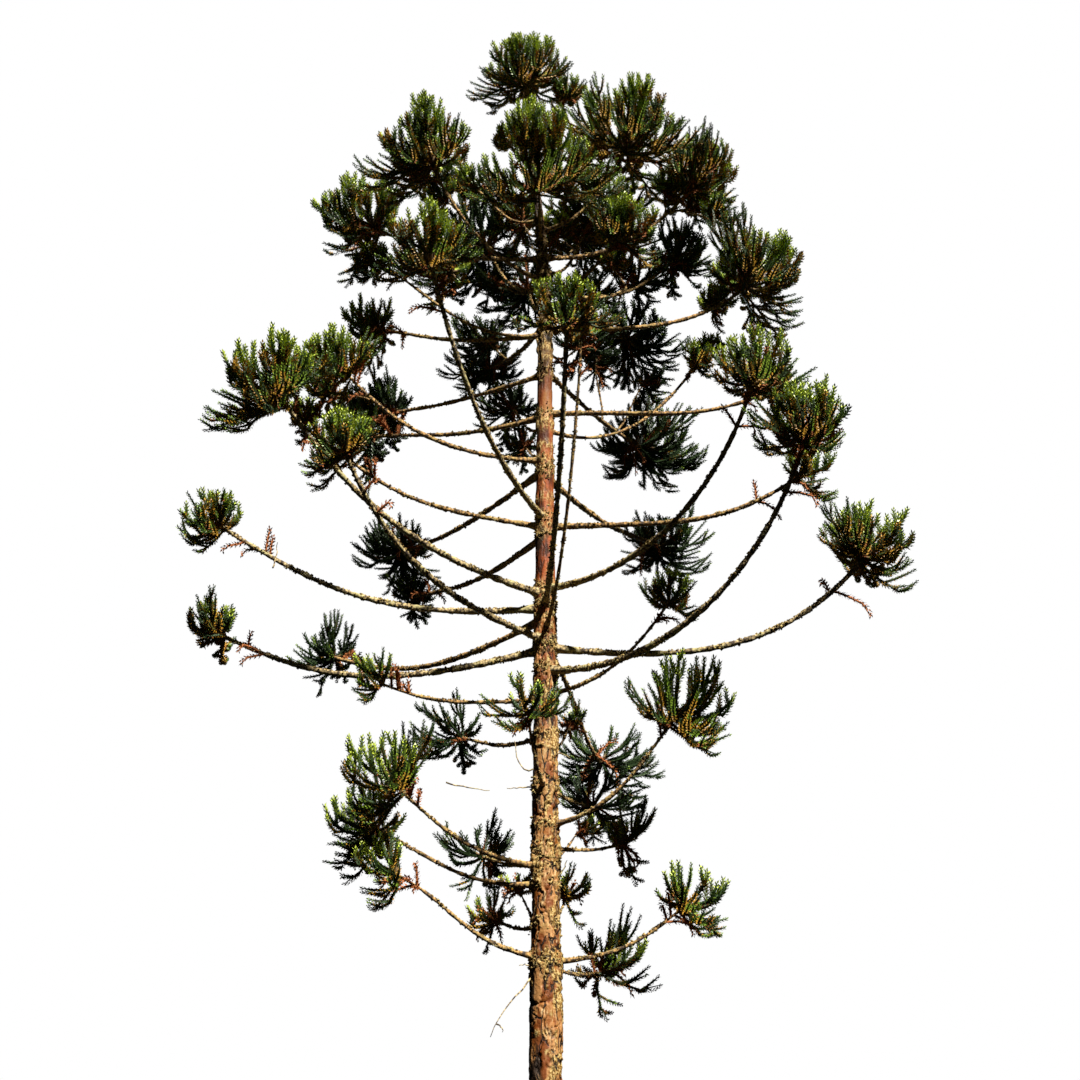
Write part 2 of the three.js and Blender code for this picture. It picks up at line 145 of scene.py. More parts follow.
class Seeded:
    """The seeded random numbers of the solids' rule."""

    WORD = 0xFFFFFFFF
    STRIDE = 0x6D2B79F5

    def __init__(self, seed: int) -> None:
        """Start the row of numbers that belongs to a seed."""
        self.state = seed & self.WORD

    def __call__(self) -> float:
        """Draw a number.

        Returns:
            The next number from 0 to 1.
        """
        self.state = (self.state + self.STRIDE) & self.WORD
        mixed = ((self.state ^ (self.state >> 15)) * (1 | self.state)) & self.WORD
        mixed = ((mixed + (mixed ^ (mixed >> 7)) * (61 | mixed)) & self.WORD) ^ mixed
        return (mixed ^ (mixed >> 14)) / (self.WORD + 1)

    def between(self, low: float, high: float) -> float:
        """Return the next number, spread from low to high."""
        return low + (high - low) * self()


class Path:
    """A curve given by control points and followed by share of its length."""

    SAMPLES = 200
    NUDGE = 1e-4

    def __init__(self, *controls: Array) -> None:
        """Measure the curve.

        Args:
            controls: Its control points.
        """
        self.controls = np.array(controls)
        self.steps = np.linspace(0.0, 1.0, self.SAMPLES + 1)
        gaps = np.linalg.norm(np.diff(self.raw(self.steps), axis=0), axis=1)
        self.lengths = np.concatenate([[0.0], np.cumsum(gaps)])

    @property
    def length(self) -> float:
        """Return the curve's length in millimetres."""
        return float(self.lengths[-1])

    def raw(self, steps: Array) -> Array:
        """Return the points of the curve at its own parameter.

        Args:
            steps: The parameter of each point, from 0 to 1.

        Returns:
            A point in each row.
        """
        degree = len(self.controls) - 1
        points = np.zeros((len(steps), 3))
        for i, control in enumerate(self.controls):
            weight = math.comb(degree, i) * steps**i * (1 - steps) ** (degree - i)
            points += weight[:, None] * control
        return points

    def step_at(self, share: Array) -> Array:
        """Return the curve's own parameter at shares of its length."""
        return np.interp(np.asarray(share, float) * self.length, self.lengths, self.steps)

    def points(self, shares: Array) -> Array:
        """Return the points at several shares of the length."""
        return self.raw(self.step_at(shares))

    def at(self, share: float) -> Array:
        """Return the point at one share of the length."""
        return self.points(np.array([share]))[0]

    def tangents(self, shares: Array) -> Array:
        """Return the directions at several shares of the length.

        Args:
            shares: Shares of the length, from 0 to 1.

        Returns:
            A direction in each row.
        """
        steps = self.step_at(shares)
        ahead = self.raw(np.minimum(1.0, steps + self.NUDGE))
        behind = self.raw(np.maximum(0.0, steps - self.NUDGE))
        return unit(ahead - behind)

    def tangent(self, share: float) -> Array:
        """Return the direction at one share of the length."""
        return self.tangents(np.array([share]))[0]

    def chain(self, links: int, start: float = 0.0, end: float = 1.0) -> tuple[Array, Array]:
        """Return the two ends of each link of a chain of straight rods along the curve."""
        points = self.points(np.linspace(start, end, links + 1))
        return points[:-1], points[1:]


@dataclass(frozen=True)
class TrunkShape:
    """The trunk's height, taper, root flare and lean, in millimetres."""

    height: float = 16000.0
    foot_radius: float = 200.0
    taper_height: float = 18000.0
    taper_power: float = 0.82
    flare: float = 85.0
    flare_height: float = 300.0
    flare_lobes: int = 5
    flare_ridge: float = 0.3
    lean_start: float = 12500.0
    lean: float = 240.0
    whorl_swell: float = 1.06

    def radius(self, height: Array) -> Array:
        """Return the radius above the flare at each height."""
        taper = np.maximum(0.0, 1 - np.asarray(height) / self.taper_height)
        return self.foot_radius * taper**self.taper_power

    def centre(self, height: Array) -> Array:
        """Return the middle of the trunk.

        Args:
            height: One height or several.

        Returns:
            The point at each height.
        """
        height = np.asarray(height, float)
        bend = np.maximum(0.0, (height - self.lean_start) / (self.height - self.lean_start))
        return np.stack([-self.lean * bend**2, np.zeros_like(height), height], axis=-1)

    def spread(self, angle: Array, height: Array) -> Array:
        """Return how far the root flare stands out at each angle and height."""
        lobes = 1 + self.flare_ridge * np.cos(self.flare_lobes * angle)
        return self.flare * np.exp(-height / self.flare_height) * lobes


TRUNK = TrunkShape()


@dataclass(frozen=True)
class Limb:
    """One limb of the tree and the mass of shoots at its end, in millimetres and degrees."""

    name: str
    start: float
    heading: float
    reach: float
    rise: float
    radius: float
    lift: float
    dip: float = 0.0

    @property
    def outward(self) -> Array:
        """Return the level direction that the limb heads in."""
        heading = math.radians(self.heading)
        return np.array([math.cos(heading), math.sin(heading), 0.0])

    @property
    def end(self) -> Array:
        """Return the direction of the limb's end."""
        lift = math.radians(self.lift)
        return self.outward * math.cos(lift) + UP * math.sin(lift)

    @property
    def tuft_direction(self) -> Array:
        """Return the direction of the tuft, which leans from the limb's end towards the light."""
        return unit(self.end + UP * SPRAY_LIFT)

    @property
    def middle(self) -> Array:
        """Return the middle of the mass."""
        return TRUNK.centre(self.start) + self.outward * self.reach + UP * self.rise

    @property
    def thick(self) -> float:
        """Return the limb's radius at the trunk."""
        return LIMB_RADIUS + LIMB_RADIUS_PER_REACH * self.reach

    def path(self) -> Path:
        """Draw the limb from the trunk's middle to the heart of its mass.

        Returns:
            Its middle line.
        """
        start = TRUNK.centre(self.start)
        tip = self.middle - self.end * STEM_SHORT * self.radius
        run_out = start + self.outward * LIMB_RUN_OUT * self.reach - UP * self.dip
        turn_up = tip - self.end * LIMB_TURN_UP * self.reach
        return Path(start, run_out, turn_up, tip)

    def mass_from(self, length: float) -> float:
        """Return the share of the limb's length at which its mass starts."""
        return 1 - (STEM_BACK - STEM_SHORT) * self.radius / length

    def radii(self, shares: Array) -> Array:
        """Return the limb's radius at shares of its length."""
        return self.thick * (1 - (1 - LIMB_TIP_SHARE) * np.asarray(shares))


@dataclass(frozen=True)
class Leader(Limb):
    """The upright shoot at the trunk's tip."""

    @property
    def thick(self) -> float:
        """Return the leader's radius where it leaves the trunk."""
        return float(TRUNK.radius(TRUNK.height)) * LEADER_THINNER

    def path(self) -> Path:
        """Return the leader's straight middle line."""
        foot = TRUNK.centre(TRUNK.height)
        return Path(foot, self.middle - UP * STEM_SHORT * self.radius)

    def mass_from(self, length: float) -> float:
        """Return nought, because the whole leader is in its mass."""
        return 0.0


LONG_LIMBS = (
    Limb("right_lower", 8360, -42, 3470, 1650, 510, 68, 560),
    Limb("left_lower", 8600, 172, 3750, 460, 430, 28, 400),
    Limb("front_left_lower", 8700, -127, 3270, 960, 400, 52, 150),
    Limb("right_middle", 8620, -8, 3550, 980, 570, 50, 330),
    Limb("left_middle", 9080, -177, 3690, 980, 440, 32, 220),
    Limb("front_left_middle", 9240, -142, 3520, 1360, 620, 45, 60),
    Limb("front_middle", 9120, -86, 3010, 1790, 450, 62, 60),
    Limb("front_right_middle", 9310, -46, 3060, 1420, 540, 66, 380),
    Limb("front_left_upper", 10160, -115, 2860, 1800, 520, 58),
)

SHORT_LIMBS = (
    Limb("low_front_left", 5330, -157, 1700, 690, 390, 15),
    Limb("low_right", 5290, -8, 1500, 600, 470, 38),
    Limb("low_back_right", 5260, 46, 1000, 110, 500, 15, 60),
    Limb("low_back_left", 5650, 127, 1000, 240, 320, 15),
    Limb("second_left", 6060, 178, 1880, 600, 520, 18, 60),
    Limb("second_front_left", 6230, -156, 1760, 730, 570, 35),
    Limb("second_back_left", 6300, 130, 1170, 310, 400, 18),
    Limb("second_right", 6430, 18, 1000, 180, 400, 20),
    Limb("third_right", 6660, -26, 1590, 1060, 650, 45),
    Limb("third_back_right", 7090, 59, 1170, 90, 450, 12, 60),
    Limb("third_front", 7040, -100, 1120, 530, 370, 42),
    Limb("fourth_back_left", 7630, 131, 1590, 430, 430, 20),
    Limb("fourth_left", 8020, -177, 1820, 190, 360, 22, 60),
    Limb("fourth_right", 8080, -24, 1480, 880, 350, 50),
    Limb("fifth_back_right", 8660, 71, 2220, -620, 540, 10, 120),
    Limb("sixth_back_left", 8960, 140, 3430, 500, 430, 25, 260),
    Limb("seventh_back_left", 9960, 123, 3090, 450, 350, 15, 60),
    Limb("seventh_left", 10060, -161, 2400, 560, 420, 35),
    Limb("seventh_right", 10060, -18, 2950, 220, 380, 30, 160),
    Limb("eighth_back_right", 10720, 60, 3110, 420, 520, 12, 60),
    Limb("eighth_back_left", 10790, 126, 3230, 240, 540, 12, 60),
    Limb("left_upper", 10900, -170, 2400, 1050, 520, 48, 60),
    Limb("ninth_back_left", 11490, 156, 2500, 310, 510, 8, 60),
    Limb("ninth_right", 11520, -9, 2650, 90, 350, 22, 60),
    Limb("tenth_back_left", 12060, 149, 2380, 200, 500, 10),
    Limb("tenth_back_right", 12120, 60, 2770, 260, 680, 10),
    Limb("eleventh_left", 12610, 167, 2200, 440, 460, 18),
    Limb("eleventh_right", 12680, 0, 2600, 780, 750, 42),
    Limb("eleventh_back", 12780, 112, 2060, 520, 480, 15),
    Limb("twelfth_back_right", 13040, 56, 2100, 640, 620, 20),
    Limb("twelfth_front_right", 13130, -30, 1130, 600, 500, 42),
    Limb("twelfth_right", 13240, 26, 1940, 1160, 470, 50),
    Limb("twelfth_back", 13330, 130, 1280, 1400, 740, 55),
    Limb("twelfth_back_left", 13100, 103, 1130, 930, 560, 32),
    Limb("twelfth_back_upper", 13560, 50, 1080, 1500, 780, 58),
    Limb("crown_front_left", 13380, -148, 1680, 1260, 720, 58),
    Limb("crown_left", 13700, 178, 2260, 640, 680, 30),
    Limb("crown_right", 13720, 5, 2010, 1350, 640, 52),
    Limb("crown_front", 13950, -92, 900, 480, 850, 62),
    Limb("crown_front_right", 14120, -15, 1200, 1280, 850, 68),
)

LEADER = Leader("leader", TRUNK.height, 180, 0, 640, 610, 84)


@dataclass(frozen=True)
class Branch(Limb):
    """A thin limb that leaves another limb instead of the trunk."""

    host: str = LEADER.name
    along: float = 0.8  # share of the host's length at which it leaves
    run_out: float = 0.4  # share of the way over which it follows its host
    turn_up: float = 0.3
    foot_radius: float = 22.0
    thinning: float = 6.0

    def path(self) -> Path:
        """Draw the branch from its host's middle line to the heart of its tuft.

        Returns:
            Its middle line.
        """
        host = limb_named(self.host).path()
        start = host.at(self.along)
        tip = self.middle - self.end * STEM_SHORT * self.radius
        length = float(np.linalg.norm(tip - start))
        run_out = start + host.tangent(self.along) * length * self.run_out
        return Path(start, run_out, tip - self.end * length * self.turn_up, tip)

    def radii(self, shares: Array) -> Array:
        """Return the branch's radius at shares of its length."""
        return self.foot_radius - self.thinning * np.asarray(shares)


def limb_named(name: str) -> Limb:
    """Return the limb of a name."""
    return next(limb for limb in (*LONG_LIMBS, *SHORT_LIMBS, LEADER, *EXTRA_LIMBS) if limb.name == name)


# Thin limbs and sprigs that the solids leave out
EXTRA_LIMBS = (
    Limb("crown_inner_left", 14290, 151, 1030, 930, 380, 40),
    Limb("crown_inner_back", 14130, 113, 700, 630, 430, 40),
    Limb("crown_inner_right", 13820, 53, 1000, 800, 460, 40),
    Limb("crown_low_right", 13100, 65, 1100, 770, 430, 30),
    Branch("crown_hanging_left", 13230, 151, 1440, 790, 425, 20, 0, "crown_left", 0.6),
    Branch("crown_far_right", 13510, 9, 1640, 1475, 350, 45, 0, "crown_right", 0.7),
    Branch("crown_outer_right", 12880, 3, 2140, 1600, 300, 30, 0, "crown_right", 0.75),
    Limb("upper_far_right", 13090, 38, 1610, 965, 380, 30),
    Limb("upper_far_left", 12590, 172, 2150, 1290, 340, 30),
    Limb("upper_inner_left", 13350, 124, 1210, 725, 330, 30),
    Limb("upper_inner_right", 12400, 61, 1030, 620, 370, 30),
    Limb("leader_side", 15750, 16, 540, 700, 280, 60),
    Limb("hidden_left", 11400, 114, 1090, 820, 415, 35),
    Limb("hidden_low_left", 11070, 108, 950, 570, 310, 30),
    Limb("thin_right", 11320, 14, 2070, 1450, 230, 55, 300),
    Branch("outer_left", 10880, 173, 2630, 1190, 310, 45, 0, "left_upper", 0.75),
    Branch("crown_column_left", 15515, 125, 428, 321, 333, 60, 0, "leader", 0.3),
    Branch("crown_column_right", 15205, 32, 846, 635, 386, 55, 0, "leader", 0.1),
    Branch("crown_gap_left", 13380, -163, 1349, 960, 340, 25, 0, "crown_front_left", 0.6),
    Branch("crown_gap_right", 13501, 14, 2019, 1413, 278, 40, 0, "crown_right", 0.7),
    Branch("crown_gap_low", 13474, 37, 1173, 704, 276, 40, 0, "twelfth_right", 0.5),
    Branch("crown_dark", 14178, 76, 825, 495, 382, 50, 0, "twelfth_back_upper", 0.5),
    Branch("right_hanging", 12422, 9, 2142, 857, 327, 15, 0, "eleventh_right", 0.72),
    Branch("left_hanging", 12560, 128, 1276, 574, 422, 15, 0, "eleventh_back", 0.6),
    Branch("back_hanging", 12517, 62, 1478, 517, 276, 15, 0, "tenth_back_right", 0.5),
    Branch("back_hanging_right", 12262, 48, 2009, 603, 278, 15, 0, "tenth_back_right", 0.65),
    Branch("right_fill", 11376, 6, 1843, 1014, 283, 40, 0, "thin_right", 0.8),
    Branch("left_fill", 10418, 174, 2834, 1275, 280, 30, 0, "left_upper", 0.8),
    Limb("front_thin", 8833, -80, 2170, 2497, 225, 75),
    Limb("sprig_low_right", 5660, 43, 380, 380, 285, 35),
    Limb("sprig_low_left", 5665, 137, 440, 440, 225, 35),
    Limb("sprig_middle_right", 6330, 40, 540, 430, 210, 35),
    Limb("sprig_upper_right", 7470, 46, 490, 440, 215, 35),
)

# Dead twigs, as the corners of their bent middle lines
DEAD_TWIGS = (
    ((-120, -50, 5150), (-390, -110, 4810), (-500, -120, 4690), (-530, -110, 4560)),
    ((-479, -113, 4681), (-410, -110, 4660), (-400, -110, 4600)),
    ((-130, 40, 7080), (-260, 50, 7085), (-390, 45, 7060)),
    ((-1030, 40, 7125), (-800, 30, 7080), (-570, 50, 7040)),
    ((-2935, -190, 9460), (-2900, -190, 9640), (-2915, -190, 9775)),
    ((-120, -60, 7240), (-250, 20, 7190), (-290, 60, 7380), (-320, 60, 7600)),
    ((-130, -60, 5230), (-210, -60, 5270), (-250, -50, 5240)),
    ((120, -70, 6110), (200, -80, 6190), (215, -90, 6290)),
    ((130, -40, 7420), (230, -40, 7400), (260, -50, 7350)),
)


class Room:
    """The straight rods that limbs, hearts and sprays take up, to keep new ones clear of them."""

    def __init__(self) -> None:
        """Start with nothing placed."""
        self.starts = np.zeros((0, 3))
        self.ends = np.zeros((0, 3))
        self.radii = np.zeros(0)
        self.owners: list[str] = []
        self.others = np.array([], str)

    def add(self, owner: str, starts: Array, ends: Array, radii: Array | float) -> None:
        """Place rods that belong to one owner.

        Args:
            owner: Whose rods they are.
            starts: One end of each rod.
            ends: The other end of each rod.
            radii: Their radius, one for all or one for each.
        """
        self.starts = np.vstack([self.starts, starts])
        self.ends = np.vstack([self.ends, ends])
        self.radii = np.concatenate([self.radii, np.broadcast_to(radii, len(starts))])
        self.owners += [owner] * len(starts)
        self.others = np.array(self.owners)

    def touches(self, starts: Array, ends: Array, radius: float, owner: str) -> bool:
        """Return whether any of the given rods comes too near one of another owner.

        Args:
            starts: One end of each rod.
            ends: The other end of each rod.
            radius: The radius of the given rods.
            owner: Whose rods they are.

        Returns:
            True where there is too little room.
        """
        foreign = self.others != owner
        if not foreign.any():
            return False
        for start, end in zip(starts, ends):
            need = radius + self.radii[foreign] + CLEARANCE
            first, second = self.starts[foreign], self.ends[foreign]
            reach = np.linalg.norm(end - start) + np.linalg.norm(second - first, axis=1)
            near = np.linalg.norm(first - start, axis=1) - reach < need
            if near.any() and (self._distances(start, end, first[near], second[near]) < need[near]).any():
                return True
        return False

    @staticmethod
    def _distances(start: Array, end: Array, first: Array, second: Array) -> Array:
        """Return the least distance of one rod's middle line from several others'.

        Args:
            start: One end of the rod.
            end: Its other end.
            first: One end of each other rod.
            second: The other end of each of them.

        Returns:
            The distance to each other rod.
        """
        ours, theirs, between = end - start, second - first, start - first
        our_square, their_square = ours @ ours, np.einsum("ij,ij->i", theirs, theirs)
        theirs_between, ours_between = np.einsum("ij,ij->i", theirs, between), between @ ours
        both = theirs @ ours
        crossing = our_square * their_square - both * both
        safe = np.where(crossing > 1e-9, crossing, 1.0)
        met = np.clip((both * theirs_between - ours_between * their_square) / safe, 0, 1)
        our_share = np.where(crossing > 1e-9, met, 0.0)
        whole = np.where(their_square > 0, their_square, 1.0)
        their_share = np.clip((both * our_share + theirs_between) / whole, 0, 1)
        their_share = np.where(their_square > 0, their_share, 0.0)
        if our_square > 0:
            our_share = np.clip((both * their_share - ours_between) / our_square, 0, 1)
        our_point = start + ours * our_share[:, None]
        their_point = first + theirs * their_share[:, None]
        return np.linalg.norm(our_point - their_point, axis=1)


def way_out(point: Array, direction: Array, centre: Array, radius: float) -> float:
    """Return how far it is along a direction to where it leaves a ball.

    Args:
        point: Where the way starts.
        direction: The direction at length one.
        centre: The ball's middle.
        radius: The ball's radius.

    Returns:
        The distance, counted from the point.
    """
    offset = point - centre
    half = float(offset @ direction)
    return -half + math.sqrt(max(0.0, half * half + radius * radius - float(offset @ offset)))


def ball_faces(large: bool) -> list[Array]:
    """Return the faces of the ball that a heart starts from, in the order of the solids' rule.

    Args:
        large: True for the ball of 32 faces, False for the one of 20.

    Returns:
        The three corners of each face, a unit from the ball's middle.
    """
    faces = []
    if large:
        for a, b, c in OCTAHEDRON[faces_of(OCTAHEDRON_FACES)]:
            ab, ac, bc = (a + b) / 2, (a + c) / 2, (b + c) / 2
            faces += [(ab, ac, a), (ab, bc, ac), (b, bc, ab), (bc, c, ac)]
        return [unit(np.array(face)) for face in faces]
    golden = (1 + math.sqrt(5)) / 2
    corners = np.array(
        [np.roll([x, y * golden, 0.0], turn) for turn in range(3) for y in (1, -1) for x in (-1, 1)]
    )
    for a, b, c in corners[faces_of(ICOSAHEDRON_FACES)]:
        faces.append(unit(np.array([b, c, a])))
    return faces


@dataclass
class Tuft:
    """The mass of shoots at the end of one limb, with the middle lines of its sprays."""

    limb: Limb
    heart: Array | None = None
    sprays: list[Path] = field(default_factory=list)
    random: Seeded | None = None  # the numbers that its shoots are drawn from

    @property
    def behind(self) -> bool:
        """Return whether the tuft is far behind the trunk, where it shows from below, in its own shade."""
        return bool(self.limb.middle[1] > BEHIND)

    def height_of(self, heights: Array) -> Array:
        """Return heights as shares of the mass's radius over its middle."""
        return (heights - self.limb.middle[2]) / self.limb.radius

    def grow_heart(self, room: Room) -> None:
        """Place the heart where it has room.

        Args:
            room: What is placed already; the heart is added to it.
        """
        limb = self.limb
        heart = limb.middle - limb.end * HEART_BACK * limb.radius
        radius = HEART_SHARE * limb.radius * (1 + HEART_ROUGHNESS)
        if not room.touches(heart[None], heart[None], radius, limb.name):
            self.heart = heart
            room.add(limb.name, heart[None], heart[None], radius)

    def heart_faces(self, random: Seeded) -> list[Array]:
        """Return the heart's faces, turned along the tuft and roughened corner by corner.

        Args:
            random: The tuft's own numbers.

        Returns:
            The three corners of each face, or nothing for a tuft with no heart.
        """
        if self.heart is None:
            return []
        turn = Vector(UP).rotation_difference(Vector(self.limb.tuft_direction))
        turn = turn @ Quaternion(UP, random() * 2 * math.pi)
        radius = HEART_SHARE * self.limb.radius
        moved: dict[tuple[int, ...], Array] = {}
        faces = []
        for face in ball_faces(self.limb.radius >= LARGE_MASS):
            corners = []
            for corner in face:
                key = tuple(math.floor(value * CORNER_GRID + 0.5) for value in corner)
                if key not in moved:
                    reach = radius * (1 + HEART_ROUGHNESS * (random() * 2 - 1))
                    moved[key] = np.array(turn @ Vector(corner)) * reach + self.heart
                corners.append(moved[key])
            faces.append(np.array(corners))
        return faces

    def spray_on(self, face: Array, random: Seeded) -> Path | None:
        """Return the spray that one face grows, or None where it stays bare.

        Args:
            face: The three corners of a face of the heart.
            random: The tuft's own numbers.

        Returns:
            The spray's middle line.
        """
        limb = self.limb
        foot = face.mean(axis=0)
        normal = unit(np.cross(face[1] - face[0], face[2] - face[0]))
        along = limb.tuft_direction
        bare, share = random() < BARE_SHARE, random()
        if bare or math.acos(float(np.clip(normal @ along, -1, 1))) > SPRAY_REACH:
            return None
        direction = unit(normal + along * SPRAY_GATHER)
        outline = limb.radius * (LENGTH_SHARE[0] + (LENGTH_SHARE[1] - LENGTH_SHARE[0]) * share)
        length = way_out(foot, direction, limb.middle, outline)
        if length < SHORTEST_SPRAY:
            return None
        bend = foot + direction * length * 0.5 - UP * length * SPRAY_SAG
        tip = foot + direction * length * (1 - SPRAY_SAG)
        tip = tip + UP * length * SPRAY_RISE * (1 - abs(direction[2]))
        return Path(foot, bend, tip)

    def candidates(self, seed: int) -> list[Path | None]:
        """Return the spray of each face of the heart, before any is left out for want of room."""
        random = Seeded(seed)
        return [self.spray_on(face, random) for face in self.heart_faces(random)]


def room_of_limbs(limbs: list[Limb]) -> tuple[Room, Room]:
    """Take up the room of the trunk and the limbs.

    Args:
        limbs: The long limbs, the short ones and the leader, in that order.

    Returns:
        The room of the solids' rule, in which a long limb and its mass are two owners, and the same
        rods with one owner for a limb and its mass, for all that the solids leave out.
    """
    room, plain = Room(), Room()
    heights = np.linspace(0, TRUNK.height, TRUNK_LINKS + 1)
    trunk = TRUNK.centre(heights)
    radii = TRUNK.radius(heights[:-1]) * TRUNK.whorl_swell
    room.add("trunk", trunk[:-1], trunk[1:], radii)
    plain.add("trunk", trunk[:-1], trunk[1:], radii)
    for limb in limbs:
        path = limb.path()
        mass_from = limb.mass_from(path.length)
        stretches = [("", mass_from, 1.0, STEM_LINKS)]
        if mass_from > 0:
            stretches.insert(0, ("bough_" if limb in LONG_LIMBS else "", 0.0, mass_from, LIMB_LINKS))
        for prefix, start, end, links in stretches:
            room.add(prefix + limb.name, *path.chain(links, start, end), limb.thick)
            plain.add(limb.name, *path.chain(links, start, end), limb.thick)
    return room, plain


def grow_tufts(limbs: list[Limb], extras: list[Limb]) -> tuple[list[Tuft], Room]:
    """Grow the sprays of every tuft by the solids' rule.

    Args:
        limbs: The long limbs, the short ones and the leader, in that order.
        extras: The thin limbs that have no solid, whose sprays only keep clear of the limbs.

    Returns:
        The tufts, and the room that only the trunk and the limbs take.
    """
    room, limbs_only = room_of_limbs(limbs)
    tufts = [Tuft(limb) for limb in limbs]
    for tuft in tufts:
        tuft.grow_heart(room)
    candidates = [tuft.candidates(SEED + i) for i, tuft in enumerate(tufts)]
    for row in zip_longest(*candidates):
        for tuft, spray in zip(tufts, row):
            if spray is None:
                continue
            starts, ends = spray.chain(SPRAY_LINKS)
            if not room.touches(starts, ends, SPRAY_RADIUS, tuft.limb.name):
                room.add(tuft.limb.name, starts, ends, SPRAY_RADIUS)
                tuft.sprays.append(spray)
    for i, limb in enumerate(extras):
        tuft = Tuft(limb)
        tuft.grow_heart(Room())
        for spray in tuft.candidates(SEED - 1 - i):
            if spray is None:
                continue
            if not limbs_only.touches(*spray.chain(SPRAY_LINKS), SPRAY_RADIUS / 2, limb.name):
                tuft.sprays.append(spray)
        tufts.append(tuft)
    return tufts, limbs_only


class Tint(Enum):
    """The plain base colours that needles are dealt."""

    # light yellow-green: young growth at the tips, and painted sunlight on the tops of the front tufts
    FRESH = "fresh"
    GREEN = "green"
    # dark green: partly the needles' own dark green, partly painted shade, as on shoot cores and tufts behind
    # the trunk
    DEEP = "deep"
    OLIVE = "olive"
    DEAD = "dead"


Shares = tuple[tuple[float, Tint], ...]


class Heap:
    """Many small things of one finish, gathered as arrays and made into one joined mesh."""

    def __init__(self, name: str) -> None:
        """Start an empty heap.

        Args:
            name: The name of its piece.
        """
        self.name = name
        self.vertices: list[Array] = []
        self.triangles: list[Array] = []
        self.count = 0

    def add(self, vertices: Array, triangles: Array) -> None:
        """Add some faces to the heap.

        Args:
            vertices: Their corners, in millimetres.
            triangles: The places of each triangle's corners in that array.
        """
        self.vertices.append(vertices)
        self.triangles.append(triangles + self.count)
        self.count += len(vertices)

    def build(self, material: Material, smooth: bool) -> Object:
        """Make the heap one mesh object at the origin.

        Args:
            material: The finish of the whole piece.
            smooth: Whether its faces are shaded smooth.

        Returns:
            The new object.
        """
        vertices = np.vstack(self.vertices).astype(np.float32) * METRES
        triangles = np.vstack(self.triangles).astype(np.int32)
        mesh = bpy.data.meshes.new(self.name)
        mesh.vertices.add(len(vertices))
        mesh.vertices.foreach_set("co", vertices.ravel())
        mesh.loops.add(triangles.size)
        mesh.loops.foreach_set("vertex_index", triangles.ravel())
        mesh.polygons.add(len(triangles))
        mesh.polygons.foreach_set("loop_start", np.arange(0, triangles.size, 3, dtype=np.int32))
        mesh.polygons.foreach_set("use_smooth", np.full(len(triangles), smooth))
        mesh.materials.append(material)
        mesh.update(calc_edges=True)
        piece = bpy.data.objects.new(self.name, mesh)
        bpy.context.scene.collection.objects.link(piece)
        LOG.info("%s: %d triangles", self.name, len(triangles))
        return piece


def tube(
    points: Array, tangents: Array, radii: Array, sides: int
) -> tuple[Array, Array]:
    """Return a tapering tube that is closed at both ends.

    Args:
        points: The middle of each ring.
        tangents: The direction of the tube at each ring.
        radii: The radius of each ring.
        sides: How many sides the tube has.

    Returns:
        Its vertices and triangles.
    """
    rings = len(points)
    first, _ = square_to(tangents[0])
    angles = np.arange(sides) * 2 * math.pi / sides
    vertices = []
    for point, tangent, radius in zip(points, tangents, radii):
        first = unit(first - tangent * (first @ tangent))
        vertices.append(point + around(angles, first, np.cross(tangent, first)) * radius)
    vertices += [points[:1], points[-1:]]
    near = np.arange(sides)
    beside = (near + 1) % sides
    triangles = []
    for ring in range(rings - 1):
        low, high = ring * sides, (ring + 1) * sides
        triangles.append(np.stack([low + near, low + beside, high + beside], axis=1))
        triangles.append(np.stack([low + near, high + beside, high + near], axis=1))
    last = (rings - 1) * sides
    foot, tip = rings * sides, rings * sides + 1
    triangles.append(np.stack([beside, near, np.full(sides, foot)], axis=1))
    triangles.append(np.stack([last + near, last + beside, np.full(sides, tip)], axis=1))
    return np.vstack(vertices), np.vstack(triangles)


class Role(Enum):
    """What a shoot is in its tuft."""

    MAIN = "main"
    SIDE = "side"
    HANGING = "hanging"
    DEAD = "dead"


@dataclass(frozen=True)
class Habit:
    """How the shoots of one role are made."""

    core: float = 1.0  # radius over that of the main shoots
    rings: int = 4
    sides: int = 3
    needle_gap: float = 1.0
    needle_size: float = 1.0
    leaves: Span = (0.5, 0.9)  # how far a side shoot leaves along its parent, and away from it
    turns: Triple = (0.3, 0.95, 0.15)  # and past its bend, along, up and away


HABITS = {
    Role.MAIN: Habit(rings=6, sides=4),
    Role.SIDE: Habit(),
    Role.HANGING: Habit(0.75, needle_size=0.74, leaves=(0.7, 0.7), turns=(0.6, 0.55, 0.1)),
    Role.DEAD: Habit(0.75, needle_gap=1.5),
}


@dataclass(frozen=True)
class Tier:
    """The tufts between two heights, whose needles are joined by tint, and how full those tufts are."""

    name: str
    below: float  # millimetres; the middles of the tier's masses are below this height
    side_spacing: float  # millimetres of branchlet to a side shoot
    hanging: int
    dead: int
    kept: float = 1.0  # share of the solid's sprays that are grown
    kept_behind: float = 1.0  # the same for the tufts behind the trunk
    needle_size: float = 1.0


TIERS = (
    Tier("lower", 8400.0, 170.0, 9, 6, 0.6, 0.4, 0.95),
    Tier("middle", 11000.0, 90.0, 9, 4),
    Tier("upper_low", 12300.0, 76.0, 8, 5),
    Tier("upper", 13600.0, 76.0, 8, 5),
    Tier("crown_low", 14450.0, 66.0, 6, 5),
    Tier("crown", 99999.0, 66.0, 6, 5),
)


